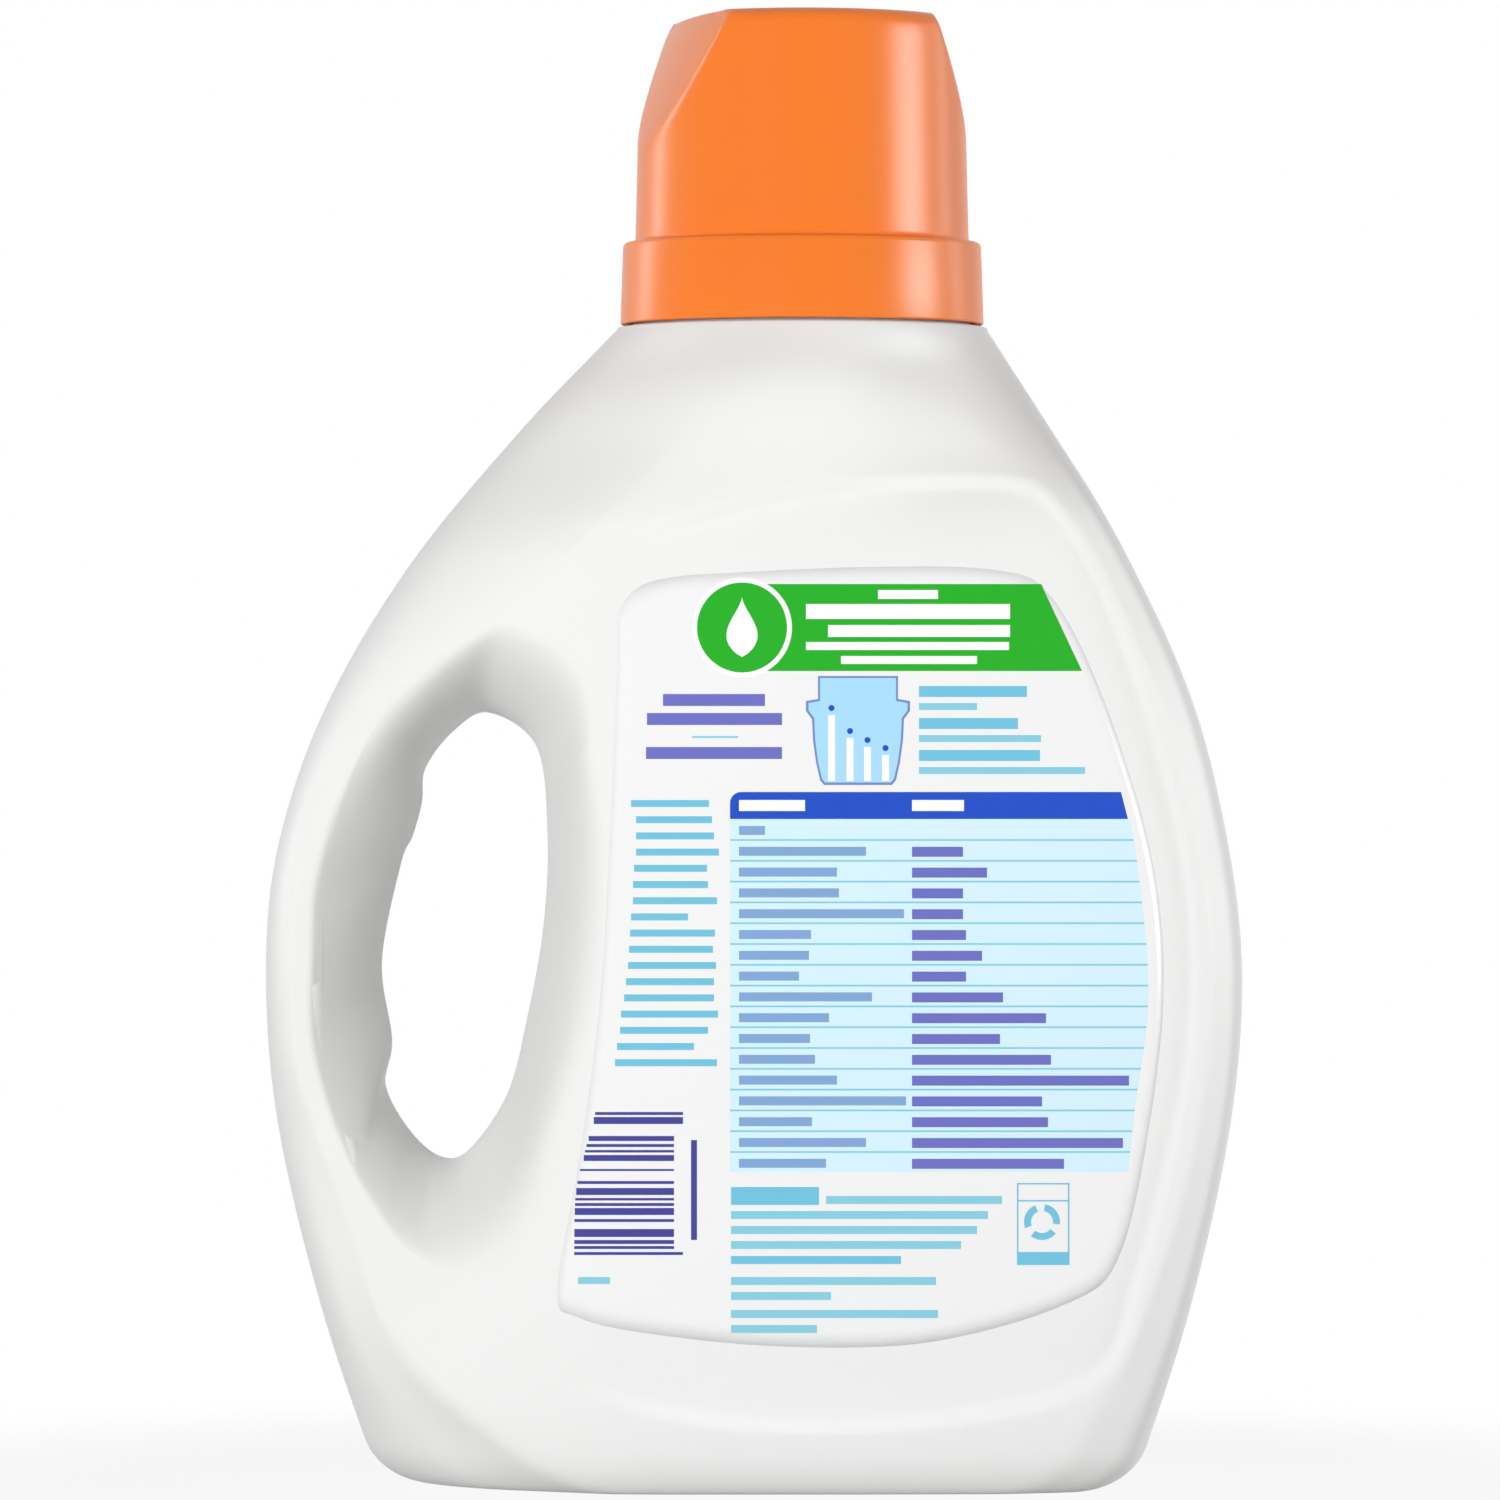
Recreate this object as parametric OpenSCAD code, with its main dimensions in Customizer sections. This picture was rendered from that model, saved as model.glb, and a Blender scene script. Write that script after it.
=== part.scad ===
// Laundry bottle with a through-handle, a drain-back pouring spout, a dosing cap and a film label on its back
// Millimetres, +Z up. The labelled back faces -Y and the handle is on the -X side. The origin lies on the
// standing plane, under the middle of the body's width. The two mould halves meet in the plane y = 0.

/* [Bottle body] */
// Height of the shoulder's top, right under the cap
shoulder_h = 224.6; // [205:0.2:245]
// Reach of the body from the neck's axis, on the side away from the handle
body_reach = 84.8; // [78:0.2:92]
// Reach of the handle from the neck's axis
handle_reach = 104.4; // [99:0.2:112]
// Depth of the body from front to back
body_depth = 109; // [98:1:120]
// Thickness of the blown wall
wall = 1.2; // [0.9:0.1:1.6]
// Share of the half depth that the crowned face loses towards the side away from the handle
crown_share = 0.2; // [0.1:0.05:0.35]
// Share of the depth that the narrow facet down the same side slopes off by
facet_share = 0.16; // [0.05:0.01:0.25]

/* [Handle] */
// Height of the middle of the finger opening
opening_z = 106.2; // [96:0.2:116]
// Distance of the finger opening's middle from the neck's axis
opening_x = 65.7; // [63:0.2:68]
// Height of the finger opening
opening_h = 86.5; // [76:0.5:94]
// Width of the finger opening
opening_w = 32.4; // [28:0.2:35]
// Thickness of the grip from front to back
grip_depth = 46; // [40:1:52]

/* [Foot] */
// Radius of the rounding round the foot
foot_r = 8; // [6:0.5:11]
// Width of the flat ring that the bottle stands on
foot_ring = 5; // [3:0.5:7]
// Height of the push-up inside the foot ring
push_up = 6; // [3:0.5:9]
// Height over which the face tucks in above the foot
tuck_h = 19; // [12:0.5:24]
// Depth of that tuck at the foot
tuck_in = 4; // [0:0.5:6]

/* [Label panel] */
// Depth of the label panel below the face round it
recess = 1.8; // [1:0.1:2.4]
// Width of the sloping step round the panel
recess_step = 2.6; // [2:0.2:4]
// Thickness of the label film
film = 0.15; // [0.1:0.05:0.3]
// Clearance between the film and the panel
film_gap = 0.4; // [0.3:0.05:0.6]

/* [Neck] */
// Radius of the neck's bore
neck_bore_r = 31.4; // [29:0.1:33]
// Wall of the neck
neck_wall = 1.3; // [1:0.1:1.6]
// Width of shoulder that shows round the cap's skirt
ledge = 0.8; // [0.4:0.1:2]

/* [Pouring spout] */
// Clearance between the spout's outer wall and the neck's bore
press_gap = 0.15; // [0.1:0.05:0.3]
// Wall of the spout fitment
fitment_wall = 1.2; // [1:0.1:1.5]
// Thickness of the flange that rests on the neck's rim
flange_t = 1.5; // [1.2:0.1:2]
// Width by which the flange stands out over the neck
flange_lip = 0.6; // [0.3:0.1:0.9]
// Depth of the drain trough below the cap's collar, where its floor is highest
trough_depth = 2.5; // [1.5:0.5:6]
// Slope of the trough's floor, in degrees
trough_slope = 5; // [3:1:8]
// Outer radius of the pouring tube
tube_r = 16; // [13:0.5:19]
// Height of the tube's lip above the neck's rim
tube_rise = 26; // [20:1:32]
// Slope of the cut across the tube's mouth, in degrees
mouth_slope = 32; // [20:1:40]
// Width of the drain slot down the handle side of the tube
slot_w = 11; // [8:1:14]

/* [Dosing cap] */
// Outer radius of the cup where it meets the skirt
cup_r = 32.5; // [31:0.1:33.5]
// Height of the cup above the skirt
cup_h = 43.8; // [38:0.2:50]
// Draft of the cup's wall, in degrees
cup_draft = 1.4; // [0.5:0.1:2.5]
// Radius of the rounding round the cup's end
cup_round = 3; // [2:0.5:4]
// Wall of the cup and of the cap's other walls
cap_wall = 1.4; // [1.2:0.1:1.8]
// Height of the skirt
skirt_h = 16; // [14:0.5:19]
// Clearance between the skirt and the neck
skirt_gap = 1.3; // [1:0.1:2]
// Clearance between the skirt and the shoulder below it
skirt_rise = 0.4; // [0.3:0.1:1]
// Clearance between the spout's flange and the web of the cap that lies on it
seat_gap = 0.3; // [0.3:0.05:0.5]
// Clearance between the cap's collar and the spout's wall, which the thread takes up
thread_gap = 1.15; // [0.9:0.05:1.5]
// Depth by which the collar reaches down below the skirt
collar_drop = 16.5; // [13:0.5:18]
// Share of the cup's end radius at which the two grip flats start
flat_share = 0.68; // [0.6:0.02:0.8]
// Height over which each grip flat runs out into the round wall
flat_run = 27; // [22:1:34]
// Turn of the grip flats about the cap's axis, in degrees
flat_turn = 15; // [0:5:40]

/* [Hidden] */
$fn = 96;
eps = 0.01;
// The neck's axis stands off the middle of the body's width by this much
axis_x = (handle_reach - body_reach) / 2;
// Fits that stack outwards from the neck's bore
neck_r = neck_bore_r + neck_wall;
skirt_in_r = neck_r + skirt_gap;
skirt_r = skirt_in_r + cap_wall;
shoulder_r = skirt_r + ledge;
// Reach of the blocks that cut planes across the spout and the cap
reach = 2 * shoulder_r;
fitment_r = neck_bore_r - press_gap;
fitment_in_r = fitment_r - fitment_wall;
collar_r = fitment_in_r - thread_gap;
// Levels that stack up from the shoulder
lip_round = 0.7;
neck_fillet = 0.9;
rim_edge = 0.4;
rise = shoulder_h - lip_round;
skirt_z = shoulder_h + skirt_rise;
skirt_top = skirt_z + skirt_h;
web_z = skirt_top - cap_wall;
rim_z = web_z - seat_gap - flange_t;
collar_z = skirt_z - collar_drop;
trough_z = collar_z - trough_depth - collar_r * tan(trough_slope);
cap_top = skirt_top + cup_h;
// Edges of the cap's skirt, and the fillet from it to the cup
skirt_round = 1;
skirt_edge = 0.4;
skirt_draft = 0.5;
cup_fillet = 0.5;

// Facets across the half neck, down each side and along the half foot, and the rings from the finger opening:
// over its rounding, across the face and over the outer rounding
neck_n = 24;
side_n = [18, 22];
foot_n = 16;
corner_n = 3;
outer_rings = [5, 7, 5];
inner_rings = [4, 4, 4];
lines = neck_n + side_n[0] + foot_n + side_n[1];
at_right = neck_n;
at_foot_right = neck_n + side_n[0];
at_foot_left = at_foot_right + foot_n;

// Outlines of the two sides, as [share of the rise, share of the reach], up to the round shoulder
body_outline = [
    [0, 0.757], [0.156, 0.883], [0.313, 0.973], [0.438, 1], [0.548, 0.971],
    [0.678, 0.886], [0.809, 0.729], [0.914, 0.568], [1, shoulder_r / body_reach]
];
handle_outline = [
    [0, 0.79], [0.156, 0.9], [0.313, 0.979], [0.438, 1], [0.548, 0.979],
    [0.67, 0.891], [0.795, 0.733], [0.914, 0.523], [1, shoulder_r / handle_reach]
];
// Half depth of the face along the rise, as shares of the body's half depth
depth_outline = [
    [0, 0.862], [0.156, 0.969], [0.36, 1], [0.62, 1], [0.795, 0.972], [0.884, 0.89], [0.947, 0.789],
    [1, 2 * shoulder_r / body_depth]
];
// Width in from each side over which the face rounds off, along the rise, as shares of the body's depth
body_round = [
    [0, 0.18], [0.134, 0.12], [0.313, 0.075], [0.67, 0.065], [0.826, 0.09], [0.915, 0.15],
    [1, shoulder_r / body_depth]
];
handle_round = [
    [0, 0.26], [0.112, 0.14], [0.246, 0.11], [0.38, 0.065], [0.62, 0.065], [0.76, 0.19],
    [0.84, 0.2], [0.915, 0.24], [1, shoulder_r / body_depth]
];
// Share of the depth that the facet down the handle's side slopes off by, along the rise
handle_facet = [[0, 0.36], [0.112, 0.34], [0.246, 0.2], [0.38, 0.02], [0.62, 0], [1, 0]];
// Shares of the two facets' widths that their edges round off over, the handle's from the foot to the grip
body_edge = 0.5;
handle_edge = [0.5, 1];
body_power = 3.5;
handle_power = 2.3;
crown_power = 2.4;
// Share of the half depth left at the handle's edge by the foot and by the shoulder. The face thins down to
// it between two shares of the handle's reach, and to the grip and back between shares of the rise.
handle_share = 0.72;
handle_turn = [0.25, 0.95];
grip_from = [0.05, 0.33];
grip_to = [0.6, 0.84];
edge_turn = [0.2, 0.4];
shoulder_turn = [0.83, 1];
// The finger opening, clockwise from its top seen from the labelled side: shares of its width and height
// from its middle, the width of the rounding into it as a share of the opening's width, and the rounding's
// power. The grip's pad stands in between the 10th and 16th point.
opening = [
    [0.142, 0.5, 0.46, 1.4], [0.429, 0.424, 0.44, 1.7], [0.497, 0.229, 0.4, 2.2], [0.472, 0.021, 0.38, 2.3],
    [0.377, -0.182, 0.42, 2.2], [0.253, -0.36, 0.52, 2], [0.022, -0.485, 0.62, 1.8],
    [-0.148, -0.5, 0.66, 1.7], [-0.333, -0.441, 0.62, 1.5], [-0.478, -0.339, 0.58, 1.25],
    [-0.438, -0.239, 0.58, 1.2], [-0.5, -0.06, 0.56, 1.2], [-0.385, 0.16, 0.56, 1.2],
    [-0.315, 0.222, 0.56, 1.2], [-0.259, 0.299, 0.56, 1.2], [-0.238, 0.375, 0.54, 1.25],
    [-0.071, 0.458, 0.5, 1.4]
];
// Points of the opening that the neck's two sides and the foot's two corners are joined to
opening_at = [0, 1.6, 4.4, 7, len(opening)];
// The panel's border, clockwise from its top corner by the handle, as shares of the reach and of the rise.
// Its last four points pass behind the finger opening, where the panel has no step.
panel = [
    [-0.287, 0.822], [0, 0.853], [0.377, 0.863], [0.554, 0.844], [0.708, 0.741], [0.855, 0.549],
    [0.87, 0.38], [0.755, 0.188], [0.649, 0.1], [0.295, 0.065], [-0.115, 0.062], [-0.46, 0.105],
    [-0.747, 0.201], [-0.91, 0.424], [-0.843, 0.639], [-0.556, 0.808]
];
panel_n = 64;
// Shares of the handle's reach between which the panel's depth runs out towards the handle
panel_fade = [0.14, 0.46];
// The label's outline, as shares of the reach and of the rise, clockwise from its top corner by the handle
label = [
    [-0.3, 0.773], [-0.23, 0.782], [0.118, 0.79], [0.425, 0.788], [0.554, 0.766], [0.672, 0.679],
    [0.778, 0.549], [0.808, 0.438], [0.778, 0.322], [0.708, 0.205], [0.59, 0.165], [0.287, 0.133],
    [-0.029, 0.129], [-0.276, 0.14], [-0.412, 0.154], [-0.448, 0.176], [-0.407, 0.29], [-0.37, 0.424],
    [-0.35, 0.581], [-0.335, 0.75]
];
label_middle = [0.15, 0.455];
label_n = 56;
label_rings = 7;

// A smooth step from 0 to 1
function smooth(t) = let (q = min(1, max(0, t))) q * q * (3 - 2 * q);
function between(t, range) = smooth((t - range[0]) / (range[1] - range[0]));
function mix(a, b, t) = a + (b - a) * t;
// A rounding: 0 at the edge, 1 from one width in
function rounded(q, power) = q >= 1 ? 1 : pow(1 - pow(1 - max(0, q), power), 1 / power);
// A facet: it slopes off straight from one width in, and rounds off over a share of that width
function faceted(q, slope, share, power) =
    q >= 1 ? 1 : (1 - slope * (1 - max(0, q))) * rounded(q / share, power);

// Height of a smooth curve through [place, height] points, at place q
function knot(p, q, k = 0) = (k >= len(p) - 2 || q < p[k + 1][0]) ? k : knot(p, q, k + 1);
function slope(p, k) =
    let (a = max(k - 1, 0), b = min(k + 1, len(p) - 1)) (p[b][1] - p[a][1]) / (p[b][0] - p[a][0]);
function curve(p, q) =
    let (k = knot(p, q), h = p[k + 1][0] - p[k][0], t = (q - p[k][0]) / h, r = 1 - t)
    (1 + 2 * t) * r * r * p[k][1] + t * r * r * h * slope(p, k)
    + t * t * (3 - 2 * t) * p[k + 1][1] - t * t * r * h * slope(p, k + 1);
// Point u of a smooth closed curve through the points p
function loop_point(p, u) =
    let (n = len(p), k = floor(u), t = u - k,
         a = p[(k + n - 1) % n], b = p[k % n], c = p[(k + 1) % n], d = p[(k + 2) % n])
    b + (t * (c - a) + t * t * (2 * a - 5 * b + 4 * c - d) + t * t * t * (3 * b - a - 3 * c + d)) / 2;

// How far the foot's rounding draws the wall in at height z, for a wall set in by inset
function foot_draw(z, inset) =
    let (r = foot_r - inset, h = min(r, max(0, z - inset))) r - sqrt(r * r - (r - h) * (r - h));
function body_x(z, inset) = body_reach * curve(body_outline, z / rise) - inset - foot_draw(z, inset);
function handle_x(z, inset) = -handle_reach * curve(handle_outline, z / rise) + inset + foot_draw(z, inset);
function half_depth(z, inset) =
    body_depth / 2 * curve(depth_outline, z / rise) - inset - foot_draw(z, inset) / 2;
// How far the face tucks in above the foot
function tuck(z) = tuck_in * pow(max(0, 1 - z / tuck_h), 2);
// Share of the half depth left at x: the face is crowned away from the handle and thins down to the grip
function crown(x, z) =
    x >= 0 ? 1 - crown_share * pow(x / body_reach, crown_power)
    : let (q = z / rise, thin = between(q, grip_from) * (1 - between(q, grip_to)),
           grip = mix(handle_share, grip_depth / body_depth, thin))
      1 - (1 - grip) * between(-x / handle_reach, handle_turn);
// Half depth of the whole face at x, z. It turns into a circle towards the shoulder.
function face_y(x, z, inset) =
    let (lo = handle_x(z, inset), hi = body_x(z, inset), q = z / rise,
         from_lo = (x - lo) / body_depth / curve(handle_round, q),
         from_hi = (hi - x) / body_depth / curve(body_round, q),
         edge = mix(handle_edge[0], handle_edge[1], between(q, edge_turn)),
         flat = crown(x, z) * faceted(from_lo, curve(handle_facet, q), edge, handle_power)
                * faceted(from_hi, facet_share, body_edge, body_power),
         u = min(1, abs(2 * x - lo - hi) / (hi - lo)))
    half_depth(z, inset) * mix(flat, sqrt(1 - u * u), between(q, shoulder_turn));
function panel_depth(x) = recess * (1 - between(-x / handle_reach, panel_fade));
function placed(p) = [p[0] * (p[0] < 0 ? handle_reach : body_reach), p[1] * rise];
panel_line = [for (j = [0:panel_n - 1]) placed(loop_point(panel, j * len(panel) / panel_n))];

// Point u of the finger opening, set back by inset: x, z and the width and power of its rounding
function opening_point(u, inset) =
    let (n = len(opening), q = u + n, p = loop_point(opening, q),
         a = loop_point(opening, q - 0.2), b = loop_point(opening, q + 0.2),
         d = [(b[0] - a[0]) * opening_w, (b[1] - a[1]) * opening_h], out = inset / norm(d))
    [p[0] * opening_w - opening_x - d[1] * out, p[1] * opening_h + opening_z + d[0] * out,
     p[2] * opening_w - inset, p[3]];
// Point i of the outer border of a half: over the neck, down the side, along the foot and up the handle
function side_z(t, inset, n) =
    let (corner = corner_n / n, r = foot_r - inset, top = rise - inset)
    t < corner ? inset + r * (1 - cos(90 * t / corner))
    : mix(inset + r, top, (t - corner) / (1 - corner));
function border_point(i, inset) =
    let (top = rise - inset, r = body_x(top, inset))
    i <= at_right ? [mix(handle_x(top, inset), r, (1 - cos(180 * i / neck_n)) / 2), top]
    : i <= at_foot_right
      ? let (z = side_z((at_foot_right - i) / side_n[0], inset, side_n[0])) [body_x(z, inset), z]
    : i <= at_foot_left
      ? let (t = (1 - cos(180 * (i - at_foot_right) / foot_n)) / 2)
        [mix(body_x(inset, inset), handle_x(inset, inset), t), inset]
    : let (z = side_z((i - at_foot_left) / side_n[1], inset, side_n[1])) [handle_x(z, inset), z];
function opening_u(i) =
    i <= at_right ? mix(opening_at[0], opening_at[1], i / neck_n)
    : i <= at_foot_right ? mix(opening_at[1], opening_at[2], (i - at_right) / side_n[0])
    : i <= at_foot_left ? mix(opening_at[2], opening_at[3], (i - at_foot_right) / foot_n)
    : mix(opening_at[3], opening_at[4], (i - at_foot_left) / side_n[1]);

function cross2(a, b) = a[0] * b[1] - a[1] * b[0];
// Share of the way from p along d at which the panel's border is crossed
function panel_share(p, d) =
    max([for (j = [0:panel_n - 1])
        let (a = panel_line[j], e = panel_line[(j + 1) % panel_n] - a, den = cross2(d, e))
        if (abs(den) > 1e-9)
        let (s = cross2(a - p, e) / den, t = cross2(a - p, d) / den)
        if (t >= 0 && t <= 1) s]);
// Shares of the way from the opening to the border at which the rings lie
function ring_shares(long, width, cross, rings) =
    let (a = min(width / long, cross * 0.8), half = recess_step / 2 / long,
         b = max(cross - half, a + 0.02), c = min(max(cross + half, b + 0.02), 0.95))
    concat(
        [for (k = [0:rings[0]]) a * (1 - cos(90 * k / rings[0]))],
        [for (k = [1:rings[1]]) mix(a, b, k / rings[1])],
        [c],
        [for (k = [1:rings[2]]) mix(c, 1, sin(90 * k / rings[2]))]
    );
function ring_count(rings) = rings[0] + rings[1] + rings[2] + 2;
// Points of one line of the skin, from the finger opening out to the border
function line_points(i, inset, rings, side) =
    let (h = opening_point(opening_u(i), inset), p = [h[0], h[1]], o = border_point(i, inset), d = o - p,
         s = ring_shares(norm(d), h[2], panel_share(p, d), rings), last = len(s) - 1)
    [for (k = [0:last])
        let (q = p + d * s[k], deep = k <= rings[0] + rings[1] ? panel_depth(q[0]) : 0,
             y = (face_y(q[0], q[1], inset) - max(deep, tuck(q[1]))) * rounded(s[k] * norm(d) / h[2], h[3]))
        [q[0], side * (seam(i, k, last) ? 0 : y), q[1]]];
// Whether a point lies in the parting plane, where the two halves share it
function seam(i, k, last) =
    k == 0 || (k == last && !(i > 0 && i < at_right) && !(i > at_foot_right && i < at_foot_left));
function skin_points(inset, rings) =
    [for (side = [-1, 1]) for (i = [0:lines - 1]) each line_points(i, inset, rings, side)];
function skin_id(side, i, k, rings) =
    let (n = ring_count(rings), j = i % lines)
    (side > 0 && !seam(j, k, n - 1) ? lines * n : 0) + j * n + k;
function quad(a, b, c, d, turned) = turned ? [[a, c, b], [a, d, c]] : [[a, b, c], [a, c, d]];
function skin_faces(rings, inner) =
    [for (side = [-1, 1]) for (i = [0:lines - 1]) for (k = [0:ring_count(rings) - 2])
        each quad(skin_id(side, i, k, rings), skin_id(side, i, k + 1, rings),
                  skin_id(side, i + 1, k + 1, rings), skin_id(side, i + 1, k, rings),
                  (side > 0) != inner)];
// Loops of skin points round the neck and round the foot, both the same way round
function neck_loop(rings) =
    let (k = ring_count(rings) - 1)
    concat([for (i = [0:at_right]) skin_id(-1, i, k, rings)],
           [for (i = [at_right - 1:-1:1]) skin_id(1, i, k, rings)]);
function foot_loop(rings) =
    let (k = ring_count(rings) - 1)
    concat([for (i = [at_foot_left:-1:at_foot_right]) skin_id(-1, i, k, rings)],
           [for (i = [at_foot_right + 1:at_foot_left - 1]) skin_id(1, i, k, rings)]);
// Faces between two loops, the second one following the first up the outside
function strip(a, b) =
    let (n = len(a)) [for (j = [0:n - 1]) each quad(a[j], b[j], b[(j + 1) % n], a[(j + 1) % n], false)];
function fan(centre, a) = [for (j = [0:len(a) - 1]) [centre, a[j], a[(j + 1) % len(a)]]];
function turned(faces) = [for (f = faces) [f[0], f[2], f[1]]];
function shifted(list, by) = [for (v = list) is_list(v) ? shifted(v, by) : v + by];
function run(first, n) = [for (j = [0:n - 1]) first + j];

// The neck's section as [radius, height], from the shoulder up the outside and down the bore
neck_section = [
    [shoulder_r - lip_round, shoulder_h - 0.3 * lip_round], [neck_r + neck_fillet, shoulder_h],
    [neck_r, shoulder_h + neck_fillet], [neck_r, rim_z - rim_edge], [neck_r - rim_edge, rim_z],
    [neck_bore_r + rim_edge, rim_z], [neck_bore_r, rim_z - rim_edge], [neck_bore_r, shoulder_h - 0.25 * wall],
    [neck_bore_r + 0.65 * wall, shoulder_h - wall], [shoulder_r - 2.5 * wall, rise - 0.5 * wall]
];
// The base's section as [distance in from the foot's outline, height]
base_section = [
    [foot_ring, 0], [foot_ring + 0.5 * push_up, 0.55 * push_up], [foot_ring + 1.7 * push_up, 0.85 * push_up]
];
function neck_rings() =
    [for (s = neck_section) for (j = [0:2 * neck_n - 1])
        let (a = 180 * j / neck_n) [-s[0] * cos(a), -s[0] * sin(a), s[1]]];
// Rings under the foot, drawn in from the points of its loop
function base_rings(loop, inset) =
    let (lo = handle_x(inset, inset), hi = body_x(inset, inset), mid = (lo + hi) / 2, half = (hi - lo) / 2,
         deep = face_y(mid, inset, inset) - tuck(inset))
    [for (s = base_section) for (p = loop)
        [mid + (p[0] - mid) * (half - s[0]) / half, p[1] * (deep - s[0]) / deep, s[1] + inset]];
function base_middle(inset) = [[(handle_x(0, 0) + body_x(0, 0)) / 2, 0, push_up + inset]];

// The blown bottle: an outer and an inner skin that meet at the neck's rim
module bottle() {
    outer = skin_points(0, outer_rings);
    inner = skin_points(wall, inner_rings);
    outer_foot = foot_loop(outer_rings);
    inner_foot = foot_loop(inner_rings);
    outer_base = base_rings([for (v = outer_foot) outer[v]], 0);
    inner_base = base_rings([for (v = inner_foot) inner[v]], wall);
    neck = neck_rings();
    at_inner = len(outer);
    at_neck = at_inner + len(inner);
    at_outer_base = at_neck + len(neck);
    at_inner_base = at_outer_base + len(outer_base) + 1;
    round_n = 2 * neck_n;
    foot_m = 2 * foot_n;
    neck_loops = concat(
        [neck_loop(outer_rings)],
        [for (j = [0:len(neck_section) - 1]) run(at_neck + j * round_n, round_n)],
        [shifted(neck_loop(inner_rings), at_inner)]
    );
    outer_loops = concat(
        [outer_foot], [for (j = [0:len(base_section) - 1]) run(at_outer_base + j * foot_m, foot_m)]
    );
    inner_loops = concat(
        [shifted(inner_foot, at_inner)],
        [for (j = [0:len(base_section) - 1]) run(at_inner_base + j * foot_m, foot_m)]
    );
    last = len(base_section);
    faces = concat(
        skin_faces(outer_rings, false),
        shifted(skin_faces(inner_rings, true), at_inner),
        [for (j = [0:len(neck_loops) - 2]) each strip(neck_loops[j], neck_loops[j + 1])],
        [for (j = [0:last - 1]) each strip(outer_loops[j + 1], outer_loops[j])],
        fan(at_outer_base + last * foot_m, outer_loops[last]),
        [for (j = [0:last - 1]) each strip(inner_loops[j], inner_loops[j + 1])],
        turned(fan(at_inner_base + last * foot_m, inner_loops[last]))
    );
    color("white")
        translate([axis_x, 0, 0])
            polyhedron(
                concat(outer, inner, neck, outer_base, base_middle(0), inner_base, base_middle(wall)), faces
            );
}

// Half depth of the panel's floor
function panel_y(p) = face_y(p[0], p[1], 0) - panel_depth(p[0]);
// The label's film: rings drawn from its outline in to its middle, on both faces
module back_label() {
    middle = placed(label_middle);
    edge = [for (j = [0:label_n - 1]) placed(loop_point(label, j * len(label) / label_n))];
    plan = [for (k = [0:label_rings - 1]) for (p = edge) mix(p, middle, k / label_rings)];
    count = len(plan) + 1;
    points = [for (lift = [film_gap + film, film_gap]) for (p = concat(plan, [middle]))
        [p[0], -panel_y(p) - lift, p[1]]];
    loops = [for (k = [0:label_rings - 1]) run(k * label_n, label_n)];
    top = concat(
        [for (k = [0:label_rings - 2]) each strip(loops[k + 1], loops[k])],
        fan(count - 1, loops[label_rings - 1])
    );
    rim = strip(loops[0], run(count, label_n));
    color("whitesmoke")
        translate([axis_x, 0, 0])
            polyhedron(points, concat(top, shifted(turned(top), count), rim));
}

// A tube about the neck's axis
module tube(outer, inner, low, high) {
    translate([0, 0, low])
        difference() {
            cylinder(r = outer, h = high - low);
            translate([0, 0, -eps]) cylinder(r = inner, h = high - low + 2 * eps);
        }
}

// Everything above a plane that slopes down towards the handle through the point [x, z]
module above(x, z, angle) {
    translate([x, 0, z]) rotate([0, -angle, 0]) translate([-reach, -reach, 0]) cube(2 * reach);
}

// The spout fitment: a wall hung in the neck by its flange, a sloping trough and a slotted pouring tube
module pour_spout() {
    lip_z = rim_z + tube_rise;
    under_z = trough_z - fitment_wall;
    low_z = under_z - fitment_r * tan(trough_slope);
    slot_margin = 2;
    color("white")
        translate([axis_x, 0, 0])
            difference() {
                union() {
                    tube(neck_r + flange_lip, fitment_in_r, rim_z, rim_z + flange_t);
                    difference() {
                        translate([0, 0, low_z]) cylinder(r = fitment_r, h = rim_z + eps - low_z);
                        intersection() {
                            translate([0, 0, low_z]) cylinder(r = fitment_in_r, h = rim_z - low_z + 1);
                            above(0, trough_z, trough_slope);
                        }
                    }
                    translate([0, 0, low_z]) cylinder(r = tube_r, h = lip_z - low_z);
                }
                translate([0, 0, low_z - 1]) cylinder(r = tube_r - fitment_wall, h = lip_z - low_z + 2);
                above(tube_r, lip_z, mouth_slope);
                translate([0, 0, 2 * under_z]) mirror([0, 0, 1]) above(0, under_z, -trough_slope);
                intersection() {
                    translate([-2 * tube_r, -slot_w / 2, low_z]) cube([2 * tube_r, slot_w, lip_z - low_z]);
                    translate([0, 0, low_z]) cylinder(r = fitment_in_r - slot_margin, h = lip_z - low_z);
                    above(0, trough_z, trough_slope);
                }
            }
}

// Points of a quarter round from angle a to angle b about the point c
function arc(c, r, a, b, n = 5) = [for (k = [0:n]) c + r * [cos(mix(a, b, k / n)), sin(mix(a, b, k / n))]];
// Outer radius of the cup at height z, and the radius at its end
function cup_at(z) = cup_r - (z - skirt_top) * tan(cup_draft);
// Everything outside the two grip flats, each drawn in by inset
module beyond_flats(inset) {
    start = flat_share * cup_at(cap_top);
    lean = atan((cup_at(cap_top - flat_run) - start) / flat_run);
    for (side = [0, 180])
        rotate([0, 0, flat_turn + side])
            translate([start, 0, cap_top]) rotate([0, -lean, 0])
                translate([-inset, -reach, -reach]) cube([reach, 2 * reach, 2 * reach]);
}
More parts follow.
